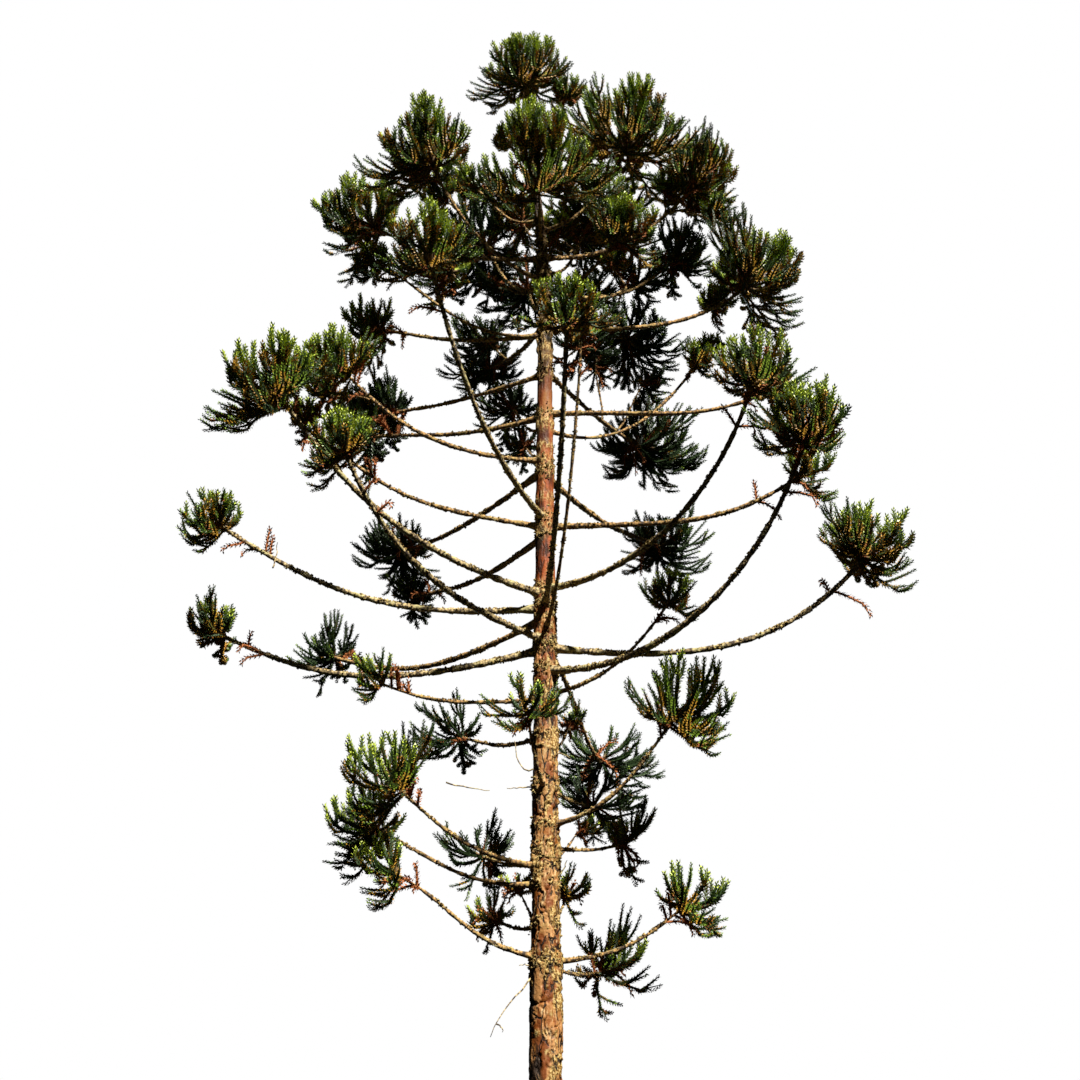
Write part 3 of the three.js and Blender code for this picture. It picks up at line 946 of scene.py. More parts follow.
@dataclass(frozen=True)
class Needles:
    """The needles of a shoot: stiff, broad-based, set in a spiral and pointing forwards."""

    length: float = 43.0
    width: float = 21.5
    widest: float = 0.4  # share of the length at which a needle is widest
    spacing: float = 5.3  # millimetres of shoot to a needle
    splay_foot: float = math.radians(56)
    splay_tip: float = math.radians(24)
    tip_share: float = 0.85  # length of the needles at the tip over that of the longest
    foot_depth: float = 0.6  # share of the shoot's radius at which its needles start
    fewest: int = 6

    def on(
        self, shoot: Path, core: float, phase: float, spacing: float, size: float
    ) -> tuple[Array, Array]:
        """Return the needles along a shoot.

        Args:
            shoot: The shoot's middle line.
            core: The shoot's own radius.
            phase: The angle of the first needle.
            spacing: How many millimetres of shoot each needle has.
            size: The needles' size over the usual one.

        Returns:
            The four corners of each needle, foot, right, tip and left, and each needle's share of the length.
        """
        count = max(self.fewest, int(shoot.length / spacing))
        shares = (np.arange(count) + 0.5) / count
        points, tangents = shoot.points(shares), shoot.tangents(shares)
        first, _ = square_to(tangents[0])
        first = unit(first - tangents * (tangents @ first)[:, None])
        radial = around(phase + np.arange(count) * GOLDEN_ANGLE, first, np.cross(tangents, first))
        splay = (self.splay_foot + (self.splay_tip - self.splay_foot) * shares**3)[:, None]
        direction = tangents * np.cos(splay) + radial * np.sin(splay)
        side = unit(np.cross(direction, radial))
        length = self.length * size * (1 - (1 - self.tip_share) * shares**3)[:, None]
        foot = points + radial * core * self.foot_depth
        belly = foot + direction * length * self.widest
        right = belly + side * self.width * size / 2
        left = belly - side * self.width * size / 2
        tip = foot + direction * length
        return np.stack([foot, right, tip, left], axis=1), shares

    @staticmethod
    def triangles(count: int) -> Array:
        """Return the two triangles of each of a number of needles."""
        first = np.arange(count)[:, None] * 4
        return np.vstack([first + [0, 1, 2], first + [0, 2, 3]])


@dataclass(frozen=True)
class Mixture:
    """How the tints are dealt: each share of the shoots is counted up from nought."""

    foot: Shares = ((0.22, Tint.DEAD), (0.84, Tint.OLIVE), (1.0, Tint.DEEP))
    middle: Shares = ((0.35, Tint.OLIVE), (0.45, Tint.DEEP), (1.0, Tint.GREEN))
    browner_low: float = 0.35  # how many more of the low shoots are brown
    low_tip_below: float = -0.35  # height in radii over the tuft's middle under which half the tips are brown
    low_tip: Shares = ((0.5, Tint.OLIVE), (1.0, Tint.GREEN))
    fresh_and_sunlit_spread: float = 0.3  # the height from which a tip is fresh, and painted sunlit, varies by this much, in radii
    # tufts behind the trunk, in their own shade, are dealt mostly dark green as painted shade
    behind_foot: Shares = ((0.12, Tint.DEAD), (1.0, Tint.DEEP))
    behind_middle: Shares = ((0.15, Tint.OLIVE), (1.0, Tint.DEEP))
    behind_tip: Shares = ((0.7, Tint.DEEP), (1.0, Tint.GREEN))
    hanging_foot: Shares = ((0.3, Tint.DEAD), (1.0, Tint.OLIVE))
    hanging_middle: Shares = ((0.4, Tint.GREEN), (1.0, Tint.OLIVE))
    hanging_tip: Shares = ((0.4, Tint.DEEP), (1.0, Tint.GREEN))

    @staticmethod
    def deal(dice: float, shares: Shares) -> Tint:
        """Return the tint that a number from 0 to 1 falls to."""
        return next(tint for share, tint in shares if dice < share)

    def tints(self, tuft: Tuft, shoot: Path, role: Role) -> tuple[Tint, Tint, Tint]:
        """Deal one shoot its tints.

        Args:
            tuft: The tuft it belongs to.
            shoot: Its middle line.
            role: What it is in its tuft.

        Returns:
            The tints at its foot, along its middle and at its tip.
        """
        first, second = tuft.random(), tuft.random()
        if role is Role.DEAD:
            return Tint.DEAD, Tint.DEAD, Tint.DEAD
        # A tuft behind the trunk is dealt darker tints as painted shade
        if tuft.behind:
            foot, middle = self.deal(first, self.behind_foot), self.deal(second, self.behind_middle)
            return foot, middle, self.deal(second, self.behind_tip)
        if role is Role.HANGING:
            foot, middle = self.deal(first, self.hanging_foot), self.deal(second, self.hanging_middle)
            # Hanging shoots of tufts that are not in front end dark green, as painted shade
            in_front = tuft.limb.middle[1] < 0
            return foot, middle, self.deal(first, self.hanging_tip) if in_front else Tint.DEEP
        height = tuft.height_of(shoot.controls[-1][2])
        low = min(1.0, max(0.0, 0.5 - height))
        foot, middle = self.deal(first, self.foot), self.deal(second - self.browner_low * low, self.middle)
        # Tips above the tuft's middle take the fresh tint: young growth, with painted sunlight on the tuft's
        # top
        tip = Tint.FRESH if height > self.fresh_and_sunlit_spread * (first - 0.5) else Tint.GREEN
        if height < self.low_tip_below:
            tip = self.deal(second, self.low_tip)
        return foot, middle, tip


@dataclass(frozen=True)
class Hanging:
    """The long shoots that run out under a tuft, sag and turn up at their tips."""

    outline: float = 1.45  # how far they may reach, in radii of the mass
    lengths: Span = (0.85, 1.4)
    side_spacing: float = 125.0
    earliest: float = 0.5  # share of the limb from which they leave it
    outward: float = 0.35
    lean: float = 0.2
    steps: Triple = (0.42, 0.42, 0.22)  # of the length, to its bend, low point and tip
    sags: Span = (0.0, 0.3)
    aside: float = 0.25
    tip_rises: Span = (0.15, 0.5)

    def shoot(self, tuft: Tuft) -> Path | None:
        """Return one such shoot, or None where it would reach too far.

        Args:
            tuft: The tuft it hangs from.

        Returns:
            The shoot's middle line.
        """
        limb = tuft.limb
        path = limb.path()
        foot = path.at(tuft.random.between(max(self.earliest, limb.mass_from(path.length)), 1.0) ** 0.5)
        first, second = square_to(limb.end)
        away = sideways(limb.end, tuft.random.between(0, 2 * math.pi))
        out = unit(away + limb.outward * self.outward - UP * self.lean)
        length = limb.radius * tuft.random.between(*self.lengths)
        sag = tuft.random.between(*self.sags)
        aside = first * tuft.random.between(-self.aside, self.aside)
        aside = aside + second * tuft.random.between(-self.aside, self.aside)
        to_bend, to_low, to_tip = self.steps
        bend = foot + (out * to_bend + aside) * length
        low = bend + (out * to_low - aside - UP * sag) * length
        tip = low + (out * to_tip + UP * tuft.random.between(*self.tip_rises)) * length
        if np.linalg.norm(tip - limb.middle) > limb.radius * self.outline:
            return None
        return Path(foot, bend, low, tip)


@dataclass(frozen=True)
class Withered:
    """The withered shoots that stand out at a tuft's foot and hook over at their tips."""

    earliest: float = 0.8  # share of the limb from which they leave it
    forward: float = 0.5
    lengths: Span = (0.3, 0.6)  # in radii of the mass
    extra: float = 60.0
    steps: Span = (0.55, 0.45)  # of the length, to its bend and to its highest point
    rises: Span = (-0.2, 0.5)
    crest_rises: Span = (-0.1, 0.2)
    tip_reaches: Span = (-0.25, 0.1)
    tip_drops: Span = (0.25, 0.5)

    def shoot(self, tuft: Tuft) -> Path:
        """Return one such shoot.

        Args:
            tuft: The tuft it belongs to.

        Returns:
            The shoot's middle line.
        """
        limb = tuft.limb
        foot = limb.path().at(tuft.random.between(self.earliest, 1.0))
        out = unit(sideways(limb.end, tuft.random.between(0, 2 * math.pi)) + limb.end * self.forward)
        length = tuft.random.between(*self.lengths) * limb.radius + self.extra
        to_bend, to_crest = self.steps
        bend = foot + out * length * to_bend + UP * length * tuft.random.between(*self.rises)
        crest = bend + out * length * to_crest + UP * length * tuft.random.between(*self.crest_rises)
        hook = out * tuft.random.between(*self.tip_reaches) - UP * tuft.random.between(*self.tip_drops)
        return Path(foot, bend, crest, crest + hook * length)


@dataclass
class Foliage:
    """All the needled shoots of one tier, and the branchlets that carry them."""

    tier: Tier
    room: Room
    needles: Needles = Needles()
    mixture: Mixture = Mixture()
    hanging: Hanging = Hanging()
    withered: Withered = Withered()
    main_shares: Span = (0.82, 1.0)  # length of a branchlet over its spray's
    main_lifts: Span = (0.12, 0.42)
    main_bend: Triple = (0.72, 0.72, 0.35)  # share of its reach at its bend, by axis
    main_dip: float = 0.4  # how far it dips there, over its lift
    main_draw: float = 0.14  # how much of its reach a level branchlet loses as it turns up
    side_from: float = 0.15  # shares of a branchlet between which its side shoots leave it
    side_to: float = 0.9
    side_shares: Span = (0.4, 0.85)  # a side shoot's length over what is left of its parent
    side_extra: float = 95.0
    side_steps: Span = (0.38, 0.7)  # of its length, to its bend and on to its tip
    longest_side: float = 460.0
    shortest_side: float = 100.0
    shorten: float = 0.85  # a shoot that ends past the outline is shortened by this, some times over
    tries: int = 4
    shoot_room: float = 20.0
    back_open: float = 1.7  # how many times more open the tufts behind the trunk are, against the sky
    end_room: float = 32.0  # what the needles at a tip reach past it
    core_radius: float = 19.0
    core_blunt: float = 0.06  # square of the share of its radius that a shoot's core has left at its tip
    twig_radii: Span = (19.0, 10.0)
    twig_share: float = 0.7  # how far a branchlet's bare wood goes on into its needles
    twig_rings: int = 5
    twig_sides: int = 5
    foot_ends: Span = (0.2, 0.45)  # share of a hanging or dead shoot at which its foot ends
    middle_ends: Span = (0.6, 0.8)
    brown_below: Span = (-0.4, 0.05)  # height over the tuft's middle, in radii
    green_above: Span = (0.0, 0.32)
    thin_from: float = 0.75  # cosine of a branchlet's lean from which it has fewer side shoots
    thin_below: float = 1.6
    usual_radius: float = 500.0  # of a mass, for the count of its hanging shoots
    radius_power: float = 1.5  # with which that count grows

    def __post_init__(self) -> None:
        """Start a heap for each tint, and one for the bare branchlets."""
        self.heaps = {tint: Heap(f"needles_{tint.value}_{self.tier.name}") for tint in Tint}
        self.twigs = Heap(f"twigs_{self.tier.name}")
        self.shoots = 0

    def clothe(self, tuft: Tuft, shoot: Path, role: Role) -> None:
        """Give a shoot its core and its needles, each needle in the tint of its place.

        Args:
            tuft: The tuft it belongs to.
            shoot: Its middle line.
            role: What it is in its tuft.
        """
        tints = self.mixture.tints(tuft, shoot, role)
        habit = HABITS[role]
        radius = self.core_radius * habit.core
        shares = np.linspace(0, 1, habit.rings)
        radii = radius * np.sqrt(1 + self.core_blunt - shares**4)  # full almost to its tip
        # a living shoot's core is dark green, painted shade between its needles
        core = Tint.DEAD if role is Role.DEAD else Tint.DEEP
        self.heaps[core].add(*tube(shoot.points(shares), shoot.tangents(shares), radii, habit.sides))
        phase = tuft.random.between(0, 2 * math.pi)
        gap = self.needles.spacing * habit.needle_gap
        size = self.tier.needle_size * habit.needle_size
        corners, places = self.needles.on(shoot, radius, phase, gap, size)
        ends = [tuft.random.between(*self.foot_ends), tuft.random.between(*self.middle_ends)]
        if role in (Role.MAIN, Role.SIDE):
            places = tuft.height_of(corners[:, 0, 2])
            ends = [tuft.random.between(*self.brown_below), tuft.random.between(*self.green_above)]
        bands = np.digitize(places, ends)
        for band, tint in enumerate(tints):
            chosen = corners[bands == band]
            if len(chosen):
                self.heaps[tint].add(chosen.reshape(-1, 3), self.needles.triangles(len(chosen)))
        self.shoots += 1

    def side_shoot(self, tuft: Tuft, parent: Path, along: float, turn: float, role: Role) -> Path | None:
        """Return a side shoot that leaves a branchlet, curves up and ends at the tuft's outline.

        Args:
            tuft: The tuft it belongs to.
            parent: The branchlet it grows on.
            along: Where it leaves the branchlet.
            turn: The angle round the branchlet at which it leaves.
            role: What it is in its tuft; those of a hanging shoot only fork from it.

        Returns:
            The shoot, or None where it has no room.
        """
        limb = tuft.limb
        foot, tangent = parent.at(along), parent.tangent(along)
        away = sideways(tangent, turn)
        leaves, turns = HABITS[role].leaves, HABITS[role].turns
        direction = unit(tangent * leaves[0] + away * leaves[1])
        turned = unit(tangent * turns[0] + UP * turns[1] + away * turns[2])
        length = parent.length * (1 - along) * tuft.random.between(*self.side_shares) + self.side_extra
        length = min(length, self.longest_side)
        reach = limb.radius * self.hanging.outline if role is Role.HANGING else limb.radius
        outline = reach * tuft.random.between(*self.main_shares) - self.end_room
        for _ in range(self.tries):
            bend = foot + direction * length * self.side_steps[0]
            tip = bend + turned * length * self.side_steps[1]
            if np.linalg.norm(tip - limb.middle) < outline:
                break
            length *= self.shorten
        if length < self.shortest_side:
            return None
        if self.room.touches(foot[None], tip[None], self.shoot_room, limb.name):
            return None
        return Path(foot, bend, tip)

    def side_shoots(self, tuft: Tuft, parent: Path, spacing: float, role: Role) -> None:
        """Grow the side shoots of one branchlet, a golden angle apart.

        Args:
            tuft: The tuft they belong to.
            parent: The branchlet they grow on.
            spacing: How many millimetres of it each of them has.
            role: What they are in their tuft.
        """
        count = round(parent.length / spacing + tuft.random() - 0.5)
        phase = tuft.random.between(0, 2 * math.pi)
        for i in range(count):
            along = self.side_from + (self.side_to - self.side_from) * (i + tuft.random()) / count
            shoot = self.side_shoot(tuft, parent, along, phase + i * GOLDEN_ANGLE, role)
            if shoot is not None:
                self.clothe(tuft, shoot, role)

    def turned_up(self, tuft: Tuft, path: Path) -> Path:
        """Return a branchlet that runs out, turns up and leaves room for the needles at its tip.

        Args:
            tuft: The tuft it belongs to.
            path: The spray of the solid that it stands for.

        Returns:
            The branchlet, within the spray's reach.
        """
        foot, _, tip = path.controls
        share = tuft.random.between(*self.main_shares) - self.end_room / path.length
        reach = (tip - foot) * share
        level = 1 - abs(float(unit(reach)[2]))
        lift = path.length * level * tuft.random.between(*self.main_lifts)
        bend = foot + reach * self.main_bend - UP * lift * self.main_dip
        return Path(foot, bend, foot + reach * (1 - self.main_draw * level) + UP * lift)

    def branchlet(self, tuft: Tuft, path: Path) -> None:
        """Add the bare wood of a branchlet, from the heart's middle on into its needles.

        Args:
            tuft: The tuft it belongs to.
            path: Its middle line.
        """
        points = np.vstack([tuft.heart, path.points(np.linspace(0, self.twig_share, self.twig_rings))])
        tangents = unit(np.gradient(points, axis=0))
        radii = np.linspace(*self.twig_radii, len(points))
        self.twigs.add(*tube(points, tangents, radii, self.twig_sides))

    def dress(self, tuft: Tuft, seed: int) -> None:
        """Grow all the shoots of one tuft.

        Args:
            tuft: The tuft, with its sprays.
            seed: The seed of its row of numbers.
        """
        tuft.random = Seeded(seed)
        limb, tier = tuft.limb, self.tier
        wide, kept = (self.back_open, tier.kept_behind) if tuft.behind else (1.0, tier.kept)
        for i, spray in enumerate(tuft.sprays):
            if int((i + 1) * kept) == int(i * kept):
                continue
            path = self.turned_up(tuft, spray)
            self.branchlet(tuft, path)
            self.clothe(tuft, path, Role.MAIN)
            lean = float(unit(path.controls[-1] - path.controls[0]) @ limb.tuft_direction)
            spacing = tier.side_spacing * (1 + self.thin_below * max(0.0, self.thin_from - lean)) * wide
            self.side_shoots(tuft, path, spacing, Role.SIDE)
        wide *= (limb.radius / self.usual_radius) ** self.radius_power
        for _ in range(round(tier.hanging * wide)):
            shoot = self.hanging.shoot(tuft)
            if shoot is None:
                continue
            low, tip = shoot.controls[2:]
            if not self.room.touches(low[None], tip[None], self.shoot_room, limb.name):
                self.clothe(tuft, shoot, Role.HANGING)
                self.side_shoots(tuft, shoot, self.hanging.side_spacing, Role.HANGING)
        for _ in range(tier.dead):
            self.clothe(tuft, self.withered.shoot(tuft), Role.DEAD)


NOISE = "ShaderNodeTexNoise"
VORONOI = "ShaderNodeTexVoronoi"
RANGE = "ShaderNodeMapRange"
RAMP = "ShaderNodeValToRGB"
MIX = "ShaderNodeMix"
MATHS = "ShaderNodeMath"
BUMP = "ShaderNodeBump"
COORDINATES = "ShaderNodeTexCoord"
COVER, UNDER, OVER, MIXED = 0, 6, 7, 2  # a mix node's sockets for colours, three in and one out

Colour = tuple[float, float, float, float]
Inputs = dict[str | int, object]
Stops = dict[float, str]


def linear(hex_colour: str) -> Colour:
    """Turn an sRGB hex colour such as "#8c6a48" into the linear values that a shader takes."""
    values = [int(hex_colour[i : i + 2], 16) / 255 for i in (1, 3, 5)]
    return tuple(v / 12.92 if v <= 0.04045 else ((v + 0.055) / 1.055) ** 2.4 for v in values) + (1.0,)


def scale_of(grain: float) -> float:
    """Return the scale of a texture in metres whose grain is a number of millimetres."""
    return 1 / (grain * METRES)


def set_inputs(tree: NodeTree, node: Node, inputs: Inputs) -> None:
    """Give a node its socket values and its links.

    Args:
        tree: The node tree it is in.
        node: The node.
        inputs: A value or another node's output socket for each input, by name or number.
    """
    for name, value in inputs.items():
        if isinstance(value, NodeSocket):
            tree.links.new(value, node.inputs[name])
        else:
            node.inputs[name].default_value = value


def add_node(
    tree: NodeTree,
    kind: str,
    inputs: Inputs | None = None,
    settings: dict[str, object] | None = None,
    stops: Stops | None = None,
) -> Node:
    """Add a node with its settings, its socket values and its links.

    Args:
        tree: The node tree it goes into.
        kind: The node's type.
        inputs: A value or another node's output socket for each input, by name or number.
        settings: Its own settings, by name.
        stops: The hex colour at each place of a ramp, in order.

    Returns:
        The new node.
    """
    node = tree.nodes.new(kind)
    for name, value in (settings or {}).items():
        setattr(node, name, value)
    set_inputs(tree, node, inputs or {})
    for i, (place, colour) in enumerate((stops or {}).items()):
        elements = node.color_ramp.elements
        stop = elements[i] if i < len(elements) else elements.new(place)
        stop.position, stop.color = place, linear(colour)
    return node


def new_material(
    name: str, roughness: float, ior: float, specular: float = 0.5
) -> tuple[Material, NodeTree, Node]:
    """Start a material.

    Args:
        name: The material's name.
        roughness: How rough its surface is, from 0 to 1.
        ior: Its index of refraction.
        specular: The level of its gloss, where 0.5 is that of the index.

    Returns:
        The material, its node tree and its shader node.
    """
    material = bpy.data.materials.new(name)
    material.use_nodes = True
    tree = material.node_tree
    shader = tree.nodes["Principled BSDF"]
    set_inputs(tree, shader, {"Roughness": roughness, "IOR": ior, "Specular IOR Level": specular})
    return material, tree, shader


@dataclass(frozen=True)
class NeedleFinish:
    """Living or withered needles: a waxy leaf skin with a soft gloss, one plain colour a tint."""

    tint: Tint
    colour: str
    roughness: float

    def make(self) -> Material:
        """Make the material. Leaf wax has an IOR near 1.45 and gives the fresh needles their gloss.

        Returns:
            The material.
        """
        material, tree, shader = new_material(f"needle_{self.tint.value}", self.roughness, 1.45)
        set_inputs(tree, shader, {"Base Color": linear(self.colour)})
        return material


NEEDLE_FINISHES = (
    # young growth, and painted sunlight on the tops of the front tufts
    NeedleFinish(Tint.FRESH, "#a8b844", 0.42),
    NeedleFinish(Tint.GREEN, "#617a22", 0.42),
    # dark green that is partly painted shade
    NeedleFinish(Tint.DEEP, "#233618", 0.5),
    NeedleFinish(Tint.OLIVE, "#977019", 0.55),
    NeedleFinish(Tint.DEAD, "#7d461b", 0.85),
)


@dataclass(frozen=True)
class TwigFinish:
    """Young wood of the branchlets: dull brown, with the scars of old needles every 6 mm or so."""

    dark: str = "#3a2b1b"
    light: str = "#6f5938"
    scar_mm: float = 12.0  # twice the real spacing, so that it shows

    def make(self) -> Material:
        """Make the material: each scar is a dark pit, which makes the twig look knobbly and dull.

        Returns:
            The material.
        """
        material, tree, shader = new_material("twig_wood", 0.85, 1.5)
        place = add_node(tree, COORDINATES).outputs["Object"]
        inputs = {"Vector": place, "Scale": scale_of(self.scar_mm)}
        scars = add_node(tree, VORONOI, inputs).outputs["Distance"]
        stops = {0.1: self.dark, 0.7: self.light}
        wood = add_node(tree, RAMP, {"Fac": scars}, stops=stops).outputs["Color"]
        bump = add_node(tree, BUMP, {"Height": scars, "Strength": 0.6, "Distance": 0.004}).outputs["Normal"]
        set_inputs(tree, shader, {"Base Color": wood, "Normal": bump})
        return material


@dataclass(frozen=True)
class LimbFinish:
    """Bark of the limbs: tan and knobbly from shed needles, with grey-green lichen on the older wood."""

    name: str = "limb_bark"
    dark: str = "#2f2214"
    light: str = "#b39e70"
    lichen: str = "#989163"
    knob_mm: float = 30.0
    patch_mm: float = 130.0
    patch_edge: Span = (0.52, 0.62)  # noise between which a patch of lichen begins
    patch_cover: float = 0.7

    def make(self) -> Material:
        """Make the material: pale knobs with dark hollows between them, and soft patches of lichen.

        Returns:
            The material.
        """
        material, tree, shader = new_material(self.name, 0.9, 1.5)
        place = add_node(tree, COORDINATES).outputs["Object"]
        inputs = {"Vector": place, "Scale": scale_of(self.knob_mm)}
        knobs = add_node(tree, VORONOI, inputs).outputs["Distance"]
        stops = {0.15: self.light, 0.75: self.dark}
        bark = add_node(tree, RAMP, {"Fac": knobs}, stops=stops).outputs["Color"]
        inputs = {"Vector": place, "Scale": scale_of(self.patch_mm), "Detail": 4.0}
        patches = add_node(tree, NOISE, inputs).outputs["Fac"]
        start, end = self.patch_edge
        inputs = {"Value": patches, "From Min": start, "From Max": end, "To Max": self.patch_cover}
        cover = add_node(tree, RANGE, inputs).outputs["Result"]
        inputs = {COVER: cover, UNDER: bark, OVER: linear(self.lichen)}
        mixed = add_node(tree, MIX, inputs, {"data_type": "RGBA"}).outputs[MIXED]
        bump = add_node(tree, BUMP, {"Height": knobs, "Strength": 0.8, "Distance": 0.008}).outputs["Normal"]
        set_inputs(tree, shader, {"Base Color": mixed, "Normal": bump})
        return material


@dataclass(frozen=True)
class LichenFinish:
    """Dry crusts of lichen and old bud scales: pale yellow-green tops with dark brown between them."""

    dark: str = "#33270e"
    middle: str = "#775f2b"
    light: str = "#a0905c"
    grain_mm: float = 26.0

    def make(self) -> Material:
        """Make the material: quite dull, and speckled at the size of its lobes.

        Returns:
            The material.
        """
        material, tree, shader = new_material("lichen", 0.95, 1.45)
        place = add_node(tree, COORDINATES).outputs["Object"]
        inputs = {"Vector": place, "Scale": scale_of(self.grain_mm), "Detail": 3.0}
        specks = add_node(tree, NOISE, inputs).outputs["Fac"]
        stops = {0.38: self.dark, 0.5: self.middle, 0.6: self.light}
        crust = add_node(tree, RAMP, {"Fac": specks}, stops=stops).outputs["Color"]
        set_inputs(tree, shader, {"Base Color": crust})
        return material


@dataclass(frozen=True)
class TrunkFinish:
    """Bark of the trunk: scaly plates and crusts below, smooth red-brown in the middle, dark above.

    The mesh gives the fissures between the plates, the tone of each plate and the rough crusts as
    attributes, so that colour and relief agree; the fissures are painted near-black as shade.
    """

    hollow: str = "#321603"
    under: str = "#5f2f07"
    plate_shade: str = "#744414"
    plate: str = "#8b6238"
    plate_light: str = "#aa8f68"
    # near-black painted shade in the fissures and cracks, also the darkest grain of the upper bark
    fissure: str = "#150a03"
    # dark moss, and painted shade where it spreads wider on the shaded side
    soot: str = "#271a0f"
    red: str = "#7c3911"
    red_shade: str = "#3e1804"
    peel: str = "#87582e"
    upper: str = "#4b341d"
    crust_dark: str = "#3a2207"
    crust: str = "#75531d"
    crust_light: str = "#a59160"
    detail: float = 5.0
    grain_mm: float = 34.0
    speck_mm: float = 22.0
    peel_mm: float = 110.0
    moss_and_shade_mm: float = 190.0
    painted_shade_lean: float = 1.1  # how much likelier the dark moss patches are on the shaded side, a metre; this lean is painted shade
    scale_mm: float = 120.0
    crook_mm: float = 110.0
    crook_by: float = 0.06  # metres
    crack_share: float = 0.06
    upright: Triple = (1.0, 1.0, 0.3)  # patterns are three times as tall as wide
    smooth_heights: Span = (8.2, 12.3)  # metres between which the bark is smooth
    blend_height: float = 0.9
    gloss: float = 0.3  # bark is duller than its index of refraction tells
    roughness: Span = (0.5, 0.95)  # of the smooth and the flaked grain

    def make(self) -> Material:
        """Make the material: cracks painted near-black as shade, dark moss spread wider on the shaded side as
        painted shade, and crusts lie over the plates.

        Returns:
            The material.
        """
        material, tree, shader = new_material("trunk_bark", 0.9, 1.4, self.gloss)
        place = add_node(tree, COORDINATES).outputs["Object"]
        split = add_node(tree, "ShaderNodeSeparateXYZ", {"Vector": place}).outputs
        inputs = {"Vector": place, "Scale": self.upright}
        upright = add_node(tree, "ShaderNodeMapping", inputs).outputs["Vector"]
        noise = {}
        for name, vector, size in (
            ("grain", upright, self.grain_mm),
            ("specks", place, self.speck_mm),
            ("peels", upright, self.peel_mm),
            ("soot", upright, self.moss_and_shade_mm),
            ("breaks", place, self.crook_mm),
        ):
            inputs = {"Vector": vector, "Scale": scale_of(size), "Detail": self.detail}
            noise[name] = add_node(tree, NOISE, inputs).outputs["Fac"]
        told = {}
        for name in ("tone", "crust", "fissure"):
            settings = {"attribute_name": name}
            told[name] = add_node(tree, "ShaderNodeAttribute", settings=settings).outputs["Fac"]
        # Dark moss patches, spread wider towards negative x, the shaded side, as painted shade
        inputs = {0: split["X"], 1: -self.painted_shade_lean, 2: noise["soot"]}
        sooty = add_node(tree, MATHS, inputs, {"operation": "MULTIPLY_ADD"}).outputs[0]
        low, high = self.smooth_heights
        share = {}
        for name, value, start, end in (
            ("pale", noise["grain"], 0.54, 0.66),
            ("flaked", noise["peels"], 0.47, 0.42),
            ("smooth", split["Z"], low, low + self.blend_height),
            ("top", split["Z"], high - self.blend_height, high),
            ("sooty", sooty, 0.64, 0.7),
            ("cracked", self.edges(tree, place, upright), self.crack_share, self.crack_share * 0.3),
            ("broken", noise["breaks"], 0.42, 0.46),
            ("scaly", split["Z"], high, low),
        ):
            inputs = {"Value": value, "From Min": start, "From Max": end}
            share[name] = add_node(tree, RANGE, inputs).outputs["Result"]
        depth = share["cracked"]
        for name in ("broken", "scaly"):
            depth = add_node(tree, MATHS, {0: depth, 1: share[name]}, {"operation": "MULTIPLY"}).outputs[0]
        plates = {0.2: self.hollow, 0.33: self.under, 0.46: self.plate_shade, 0.64: self.plate}
        colour = {}
        for name, factor, stops in (
            ("plate", told["tone"], plates),
            ("smooth", noise["peels"], {0.36: self.red_shade, 0.48: self.red, 0.64: self.peel}),
            ("top", noise["grain"], {0.4: self.fissure, 0.6: self.upper}),
            ("crust", noise["specks"], {0.38: self.crust_dark, 0.46: self.crust, 0.6: self.crust_light}),
        ):
            colour[name] = add_node(tree, RAMP, {"Fac": factor}, stops=stops).outputs["Color"]
        laid = colour["plate"]
        for cover, over in (
            (share["pale"], linear(self.plate_light)),
            (share["flaked"], linear(self.under)),
            (share["smooth"], colour["smooth"]),
            (share["top"], colour["top"]),
            # dark moss, with painted shade on the shaded side
            (share["sooty"], linear(self.soot)),
            (told["crust"], colour["crust"]),
            # painted shade: the fissures and the cracks between the scales go near-black
            (told["fissure"], linear(self.fissure)),
            (depth, linear(self.fissure)),
        ):
            inputs = {COVER: cover, UNDER: laid, OVER: over}
            laid = add_node(tree, MIX, inputs, {"data_type": "RGBA"}).outputs[MIXED]
        smoothest, roughest = self.roughness
        inputs = {"Value": noise["grain"], "From Min": 0.35, "From Max": 0.75}
        inputs |= {"To Min": smoothest, "To Max": roughest}
        rough = add_node(tree, RANGE, inputs).outputs["Result"]
        relief = add_node(tree, MATHS, {0: noise["specks"], 1: depth}, {"operation": "SUBTRACT"}).outputs[0]
        bump = add_node(tree, BUMP, {"Height": relief, "Strength": 0.8, "Distance": 0.008}).outputs["Normal"]
        set_inputs(tree, shader, {"Base Color": laid, "Roughness": rough, "Normal": bump})
        return material

    def edges(
        self, tree: NodeTree, place: NodeSocket, upright: NodeSocket
    ) -> NodeSocket:
        """Return how far a point is from the crooked edge of its scale of bark.

        Args:
            tree: The node tree of the bark.
            place: The point's own place.
            upright: The same place, drawn out upwards.

        Returns:
            The distance, in scales.
        """
        inputs = {"Vector": place, "Scale": scale_of(self.crook_mm), "Detail": 3.0}
        crook = add_node(tree, NOISE, inputs).outputs["Color"]
        inputs = {0: crook, 1: (self.crook_by,) * 3, 2: upright}
        bent = add_node(tree, "ShaderNodeVectorMath", inputs, {"operation": "MULTIPLY_ADD"}).outputs[0]
        inputs = {"Vector": bent, "Scale": scale_of(self.scale_mm)}
        return add_node(tree, VORONOI, inputs, {"feature": "DISTANCE_TO_EDGE"}).outputs["Distance"]


def ease(values: Array, span: Span) -> Array:
    """Return how far values have gone through a span, from 0 to 1."""
    return np.clip((values - span[0]) / (span[1] - span[0]), 0, 1)


